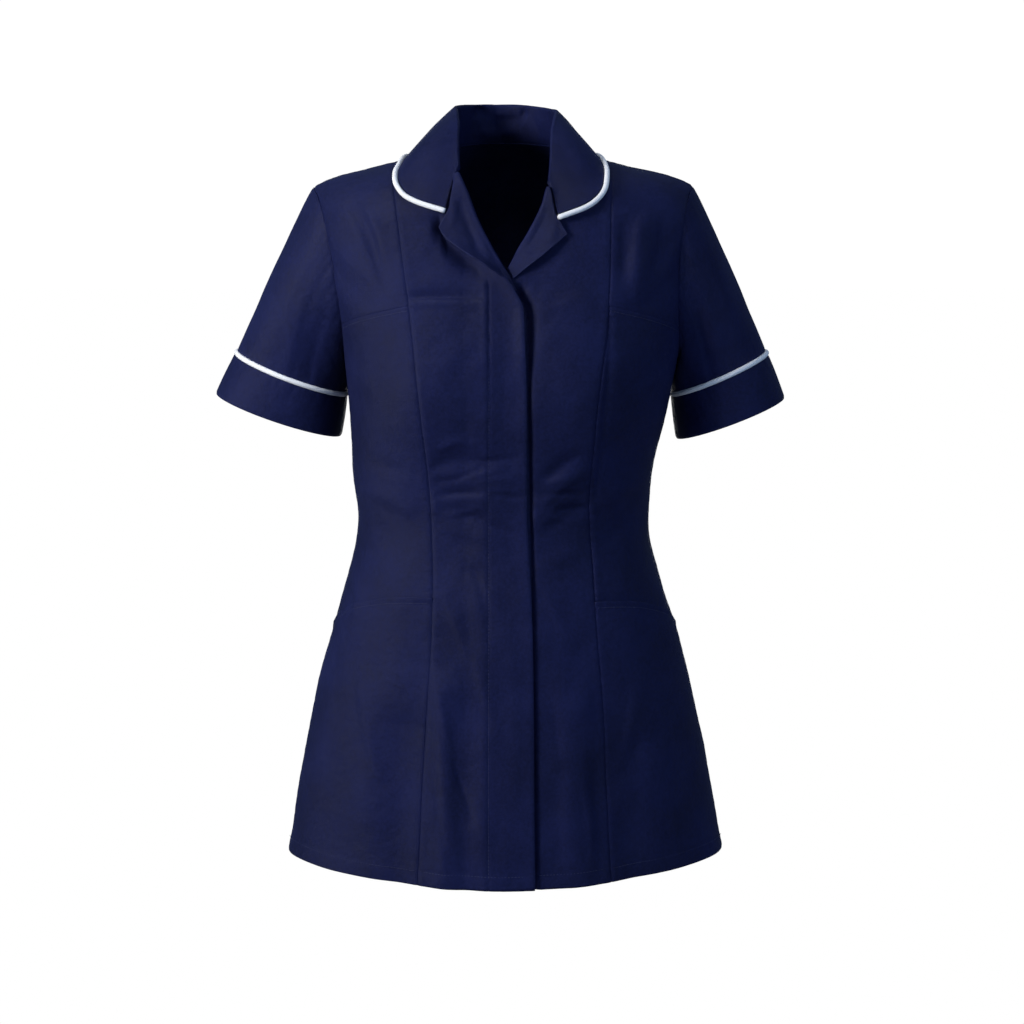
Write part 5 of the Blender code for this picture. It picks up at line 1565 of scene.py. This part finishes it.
class TUNIC_OT_sides(bpy.types.Operator):
    """Builds the side fronts below the bust seams and the yokes above them."""
    bl_idname = "tunic.sides"
    bl_label = "Side fronts and yokes"

    def execute(self, context):
        for side, word in WORD.items():
            places = side_panel(side)[1]
            edges = {"first": 2.2 if side == LEFT else 1, "last": 1 if side == LEFT else 1.4, "top": 0.5}
            piece = cloth_piece(f"side_front_{word}", panel_grid(places, seam_sink(side, places), edges),
                                rubbed(torso(places), ("first", "last", "top", "bottom"), 0.2))
            places = yoke_panel(side)
            edges = {"first": 1, "last": 1, "top": 1, "bottom": 0.5}
            piece = cloth_piece(f"yoke_front_{word}", panel_grid(places, 0, edges),
                                rubbed(torso(places), ("first", "last", "bottom"), 0.2))
        return {"FINISHED"}


class TUNIC_OT_back(bpy.types.Operator):
    """Builds the back in one piece."""
    bl_idname = "tunic.back"
    bl_label = "Back"

    def execute(self, context):
        places = back_panel()
        piece = cloth_piece("back", panel_grid(places, 0, {"first": 1, "last": 1, "top": 0.6}),
                            rubbed(torso(places), ("first", "last", "bottom"), 0.6))
        return {"FINISHED"}


MOUTH_STITCH = 0.0060            # from a pocket's mouth down to its stitching


def mouth_lift(side, below, along):
    """How far a pocket stands off the side front: it gapes at its mouth, and puckers there.

    The gape is 1.6 mm * (1 - below / 65 mm)^2, the pucker 0.4 mm * uneven(along) *
    exp(-below / 12 mm), and both are times sin(pi along) between the pocket's two seams.
    """
    middle = np.sin(math.pi * np.clip(along / along[..., -1:], 0, 1))
    gape = 0.0016 * np.clip(1 - below / 0.065, 0, 1)**2 * middle
    return CLOTH + LAYER_GAP + gape + 0.0004 * uneven(along, 1.0 + side) * np.exp(-below / 0.012) * middle


class TUNIC_OT_pockets(bpy.types.Operator):
    """Builds the pocket fronts, which gape a little at their mouths."""
    bl_idname = "tunic.pockets"
    bl_label = "Pockets"

    def execute(self, context):
        for side, word in WORD.items():
            places = side_panel(side)[0]
            points = torso(places)
            below, along = edge_lengths(points)["top"]
            lift = mouth_lift(side, below, along) - 0.0004 * hump(below - MOUTH_STITCH, 0.0009)
            grid = panel_grid(places, lift + seam_sink(side, places), {"first": 1, "last": 1})
            worn = rubbed(points, ("top", "bottom", "first", "last"), 0.25)
            piece = cloth_piece(f"pocket_{word}", grid, worn)
        return {"FINISHED"}


class TUNIC_OT_sleeves(bpy.types.Operator):
    """Builds the two set-in sleeves, their turned-back cuffs and the piping between them."""
    bl_idname = "tunic.sleeves"
    bl_label = "Sleeves and cuffs"

    def execute(self, context):
        for side, word in WORD.items():
            body, top, hem, line, turn = sleeve_shape(side)
            parts = [*sleeve_cloth(side, body, turn), *cuff_cloth(side, top, hem, turn)]
            sleeve, sleeve_worn, cuff, cuff_worn = (part[::-1] if side == RIGHT else part for part in parts)
            piece = cloth_piece(f"sleeve_{word}", sleeve, sleeve_worn, closed=True)
            wall = context.scene.tunic_cloth.cuff_wall
            piece = cloth_piece(f"cuff_{word}", cuff, cuff_worn, wall, closed=True)
            piping_piece(f"cuff_piping_{word}", line, True)
        return {"FINISHED"}


class TUNIC_OT_lapels(bpy.types.Operator):
    """Builds the lapels, which turn out over the fronts."""
    bl_idname = "tunic.lapels"
    bl_label = "Lapels"

    def execute(self, context):
        for side, word in WORD.items():
            grid = lapel_grid(side)
            free = "first" if side == RIGHT else "last"
            piece = cloth_piece(f"lapel_{word}", grid, rubbed(grid, (free, "top"), 0.8))
        return {"FINISHED"}


class TUNIC_OT_collar(bpy.types.Operator):
    """Builds the collar, its stand and leaf folded at the roll line, and the piping of its leaf."""
    bl_idname = "tunic.collar"
    bl_label = "Collar"

    def execute(self, context):
        grid = collar_grid()
        piece = cloth_piece("collar", *collar_cloth(grid))
        piping_piece("collar_piping", collar_piping_line(grid), False)
        return {"FINISHED"}


BUST_STITCH = 0.0042             # from a bust seam down to its stitching
BUST_ENDS, MOUTH_ENDS = 4, 2     # points of a bust seam and of a pocket's mouth left off at each end
PLACKET_ENDS = (-0.700, -0.135)  # paths between which the placket is stitched


def stitched_run(places, lift):
    """A stitched line on the outer face of cloth that stands a height off the torso, and its normals."""
    return lifted(places, lift + relief(places)), outward(places)


def placket_runs():
    """The line that sews the placket through, from the lapel's lower end to the hem."""
    places = across_place(PLACKET_STITCH, np.linspace(*PLACKET_ENDS, FINE_STITCH))
    return [stitched_run(places, CLOTH + placket_lift(places))]


def bust_runs():
    """Lines beside the bust seams, on the cloth below them."""
    runs = []
    for side in WORD:
        inner, outer = princess_place(side, BUST_SEAM_INNER[side]), armhole(side, bust_corner(side))
        line = np.linspace(inner, outer, FINE_BUST)[BUST_ENDS:-BUST_ENDS] - [0, BUST_STITCH]
        runs.append(stitched_run(line, CLOTH + 0.0002))
    return runs


def mouth_runs():
    """Lines along the pockets' mouths."""
    runs = []
    for side in WORD:
        line = side_panel(side)[0][-1] - [0, MOUTH_STITCH]
        lift = mouth_lift(side, MOUTH_STITCH, lengths_along(torso(line), 0)) + seam_sink(side, line)
        stitched = slice(MOUTH_ENDS, -MOUTH_ENDS)
        runs.append(stitched_run(line[stitched], CLOTH - 0.0002 + lift[stitched]))
    return runs


def hem_line(low, high, count, clear):
    """Places of the hem's stitching between two angles, kept clear of both."""
    return on_hem(np.linspace(low + clear, high - clear, count)) + [0, HEM_DEPTH]


def hem_runs():
    """Lines along the hem of every panel. The left front's starts where the right one ends."""
    runs = []
    for side in WORD:
        seam, edge = princess_hem(side)[0], front_edge(side)[0, 0]
        line = hem_line(*sorted((seam, edge)), count=200, clear=0.010)
        if side == LEFT:
            line = line[line[:, 0] > front_edge(RIGHT)[0, 0] + 0.02]
        runs.append(stitched_run(line, CLOTH + FRONT_LIFT[side](line)))
        line = hem_line(*sorted((seam, side * SIDE_ANGLE)), count=300, clear=0.008)
        runs.append(stitched_run(line, 2 * CLOTH + LAYER_GAP))
    line = hem_line(SIDE_ANGLE, 2 * math.pi - SIDE_ANGLE, FINE_STITCH, clear=0.008)
    return [*runs, stitched_run(line, CLOTH)]


class TUNIC_OT_stitching(bpy.types.Operator):
    """Sews the lines of stitches: placket, bust seams, pocket mouths and hem."""
    bl_idname = "tunic.stitching"
    bl_label = "Stitching"

    def execute(self, context):
        trim = context.scene.tunic_trim
        for word, runs in (("placket", placket_runs()), ("bust", bust_runs()), ("pocket", mouth_runs()),
                           ("hem", hem_runs())):
            name = f"{word}_stitching"
            mesh = stitch_mesh(name, runs, trim.stitch_length, trim.stitch_gap, trim.thread_thickness)
            made_piece(name, mesh, "navy_thread")
        return {"FINISHED"}


BLACK, WHITE = (0, 0, 0, 1), (1, 1, 1, 1)
FLOOR_REACH, FLOOR_LINES = 30, 25
SURROUND_SEEN = 1.02             # strength at which the camera sees the surround as plain white
LAMPS = table(
    "name size tint place target",
    ("key", 0.6, (1.0, 1.0, 1.0), (-1.40, -1.05, 0.42), (0.0, -0.05, -0.20)),
    ("top", 0.4, (1.0, 1.0, 1.0), (-0.10, -0.55, 1.50), (0.0, -0.05, -0.20)),
    ("fill", 1.6, (0.45, 0.66, 1.0), (1.7, -2.1, 0.1), (0.0, -0.05, -0.30)),
    ("back", 1.6, (1.0, 1.0, 1.0), (0.0, 2.8, -0.35), (0.0, 0.05, -0.35)),
)
CAMERA_PLACE, CAMERA_DOWN = (0.008, -2.9789, -0.0028), 6.8   # in degrees
SENSOR, FOCAL_LENGTH = 36, 36 * 3000 / 1024   # in millimetres: a focal length of 3000 pixels in 1024


def camera_sees(tree):
    """1 for the rays that the camera sees, and 0 for those that light the tunic."""
    return tree.nodes.new("ShaderNodeLightPath").outputs["Is Camera Ray"]


def floor_material(stage):
    """A floor that looks its own plain colour, and throws back a share of the light."""
    finish = bpy.data.materials.new("pale_floor")
    finish.use_nodes = True
    tree = finish.node_tree
    seen = camera_sees(tree)
    dull = tuple(stage.floor_bounce * value for value in stage.floor_colour)
    feed(tree, tree.nodes["Principled BSDF"], {
        "Base Color": mix_colour(tree, seen, (*dull, 1), BLACK),
        "Emission Color": mix_colour(tree, seen, BLACK, (*stage.floor_colour, 1)),
        "Emission Strength": 1.0, "Specular IOR Level": 0.0, "Roughness": 0.9,
    })
    return finish


def surround_world(stage):
    """A white surround that lights the tunic softly in its own tint and strength."""
    world = bpy.data.worlds.new("surround")
    world.use_nodes = True
    tree = world.node_tree
    seen = camera_sees(tree)
    feed(tree, tree.nodes["Background"], {
        "Color": mix_colour(tree, seen, (*stage.surround_tint, 1), WHITE),
        "Strength": maths(tree, "MULTIPLY_ADD", seen, SURROUND_SEEN - stage.surround, stage.surround),
    })
    return world


def add_lamp(scene, row, power):
    """A square area light that faces its target."""
    data = bpy.data.lights.new(f"{row.name}_light", "AREA")
    data.energy, data.size, data.color = power, row.size, row.tint
    lamp = bpy.data.objects.new(data.name, data)
    lamp.location = row.place
    lamp.rotation_euler = (Vector(row.target) - Vector(row.place)).to_track_quat("-Z", "Y").to_euler()
    scene.collection.objects.link(lamp)


def add_camera(scene):
    """The camera that the photograph was taken with, as near as it can be told."""
    data = bpy.data.cameras.new("camera")
    data.sensor_width, data.lens = SENSOR, FOCAL_LENGTH
    data.clip_start, data.clip_end = 0.05, 100
    scene.camera = bpy.data.objects.new("camera", data)
    scene.camera.location = CAMERA_PLACE
    scene.camera.rotation_euler = (math.radians(90 - CAMERA_DOWN), 0, 0)
    scene.collection.objects.link(scene.camera)


class TUNIC_OT_stage(bpy.types.Operator):
    """Sets up the pale floor, the soft light and the camera."""
    bl_idname = "tunic.stage"
    bl_label = "Studio"

    def execute(self, context):
        scene, stage = context.scene, context.scene.tunic_stage
        scene.view_settings.view_transform = "Standard"
        lines = np.linspace(-FLOOR_REACH, FLOOR_REACH, FLOOR_LINES)
        x, y = np.meshgrid(lines, lines)
        grid = np.stack([x, y, np.full_like(x, stage.floor_height)], axis=-1)
        floor = bpy.data.objects.new("floor", grid_mesh("floor", grid))
        scene.collection.objects.link(floor)
        floor.data.materials.append(floor_material(stage))
        scene.world = surround_world(stage)
        for row in LAMPS:
            add_lamp(scene, row, getattr(stage, f"{row.name}_power"))
        add_camera(scene)
        return {"FINISHED"}


class TUNIC_PT_panel(bpy.types.Panel):
    """Lists the tunic's pieces and its values."""
    bl_idname = "TUNIC_PT_panel"
    bl_label = "Work tunic"
    bl_space_type = "VIEW_3D"
    bl_region_type = "UI"
    bl_category = "Tunic"

    def draw(self, context):
        for name in GROUPS:
            box = self.layout.box()
            group = getattr(context.scene, name)
            for value in group.__annotations__:
                box.prop(group, value)
        for operator in OPERATORS:
            self.layout.operator(operator.bl_idname)


GROUPS = {"tunic_cloth": TUNIC_PG_cloth, "tunic_trim": TUNIC_PG_trim, "tunic_stage": TUNIC_PG_stage}
OPERATORS = (
    TUNIC_OT_stage, TUNIC_OT_fronts, TUNIC_OT_sides, TUNIC_OT_back, TUNIC_OT_pockets, TUNIC_OT_sleeves,
    TUNIC_OT_lapels, TUNIC_OT_collar, TUNIC_OT_stitching,
)
CLASSES = (*GROUPS.values(), *OPERATORS, TUNIC_PT_panel)


def register():
    """Registers the classes, and gives every scene their values."""
    for made in CLASSES:
        bpy.utils.register_class(made)
    for name, group in GROUPS.items():
        setattr(bpy.types.Scene, name, bpy.props.PointerProperty(type=group))


def unregister():
    """Undoes register()."""
    for name in GROUPS:
        delattr(bpy.types.Scene, name)
    for made in reversed(CLASSES):
        bpy.utils.unregister_class(made)


def main():
    """Registers the classes and runs the operators in order."""
    register()
    bpy.ops.tunic.stage()
    bpy.ops.tunic.fronts()
    bpy.ops.tunic.sides()
    bpy.ops.tunic.back()
    bpy.ops.tunic.pockets()
    bpy.ops.tunic.sleeves()
    bpy.ops.tunic.lapels()
    bpy.ops.tunic.collar()
    bpy.ops.tunic.stitching()
    bpy.context.view_layer.update()


if __name__ == "__main__":
    main()
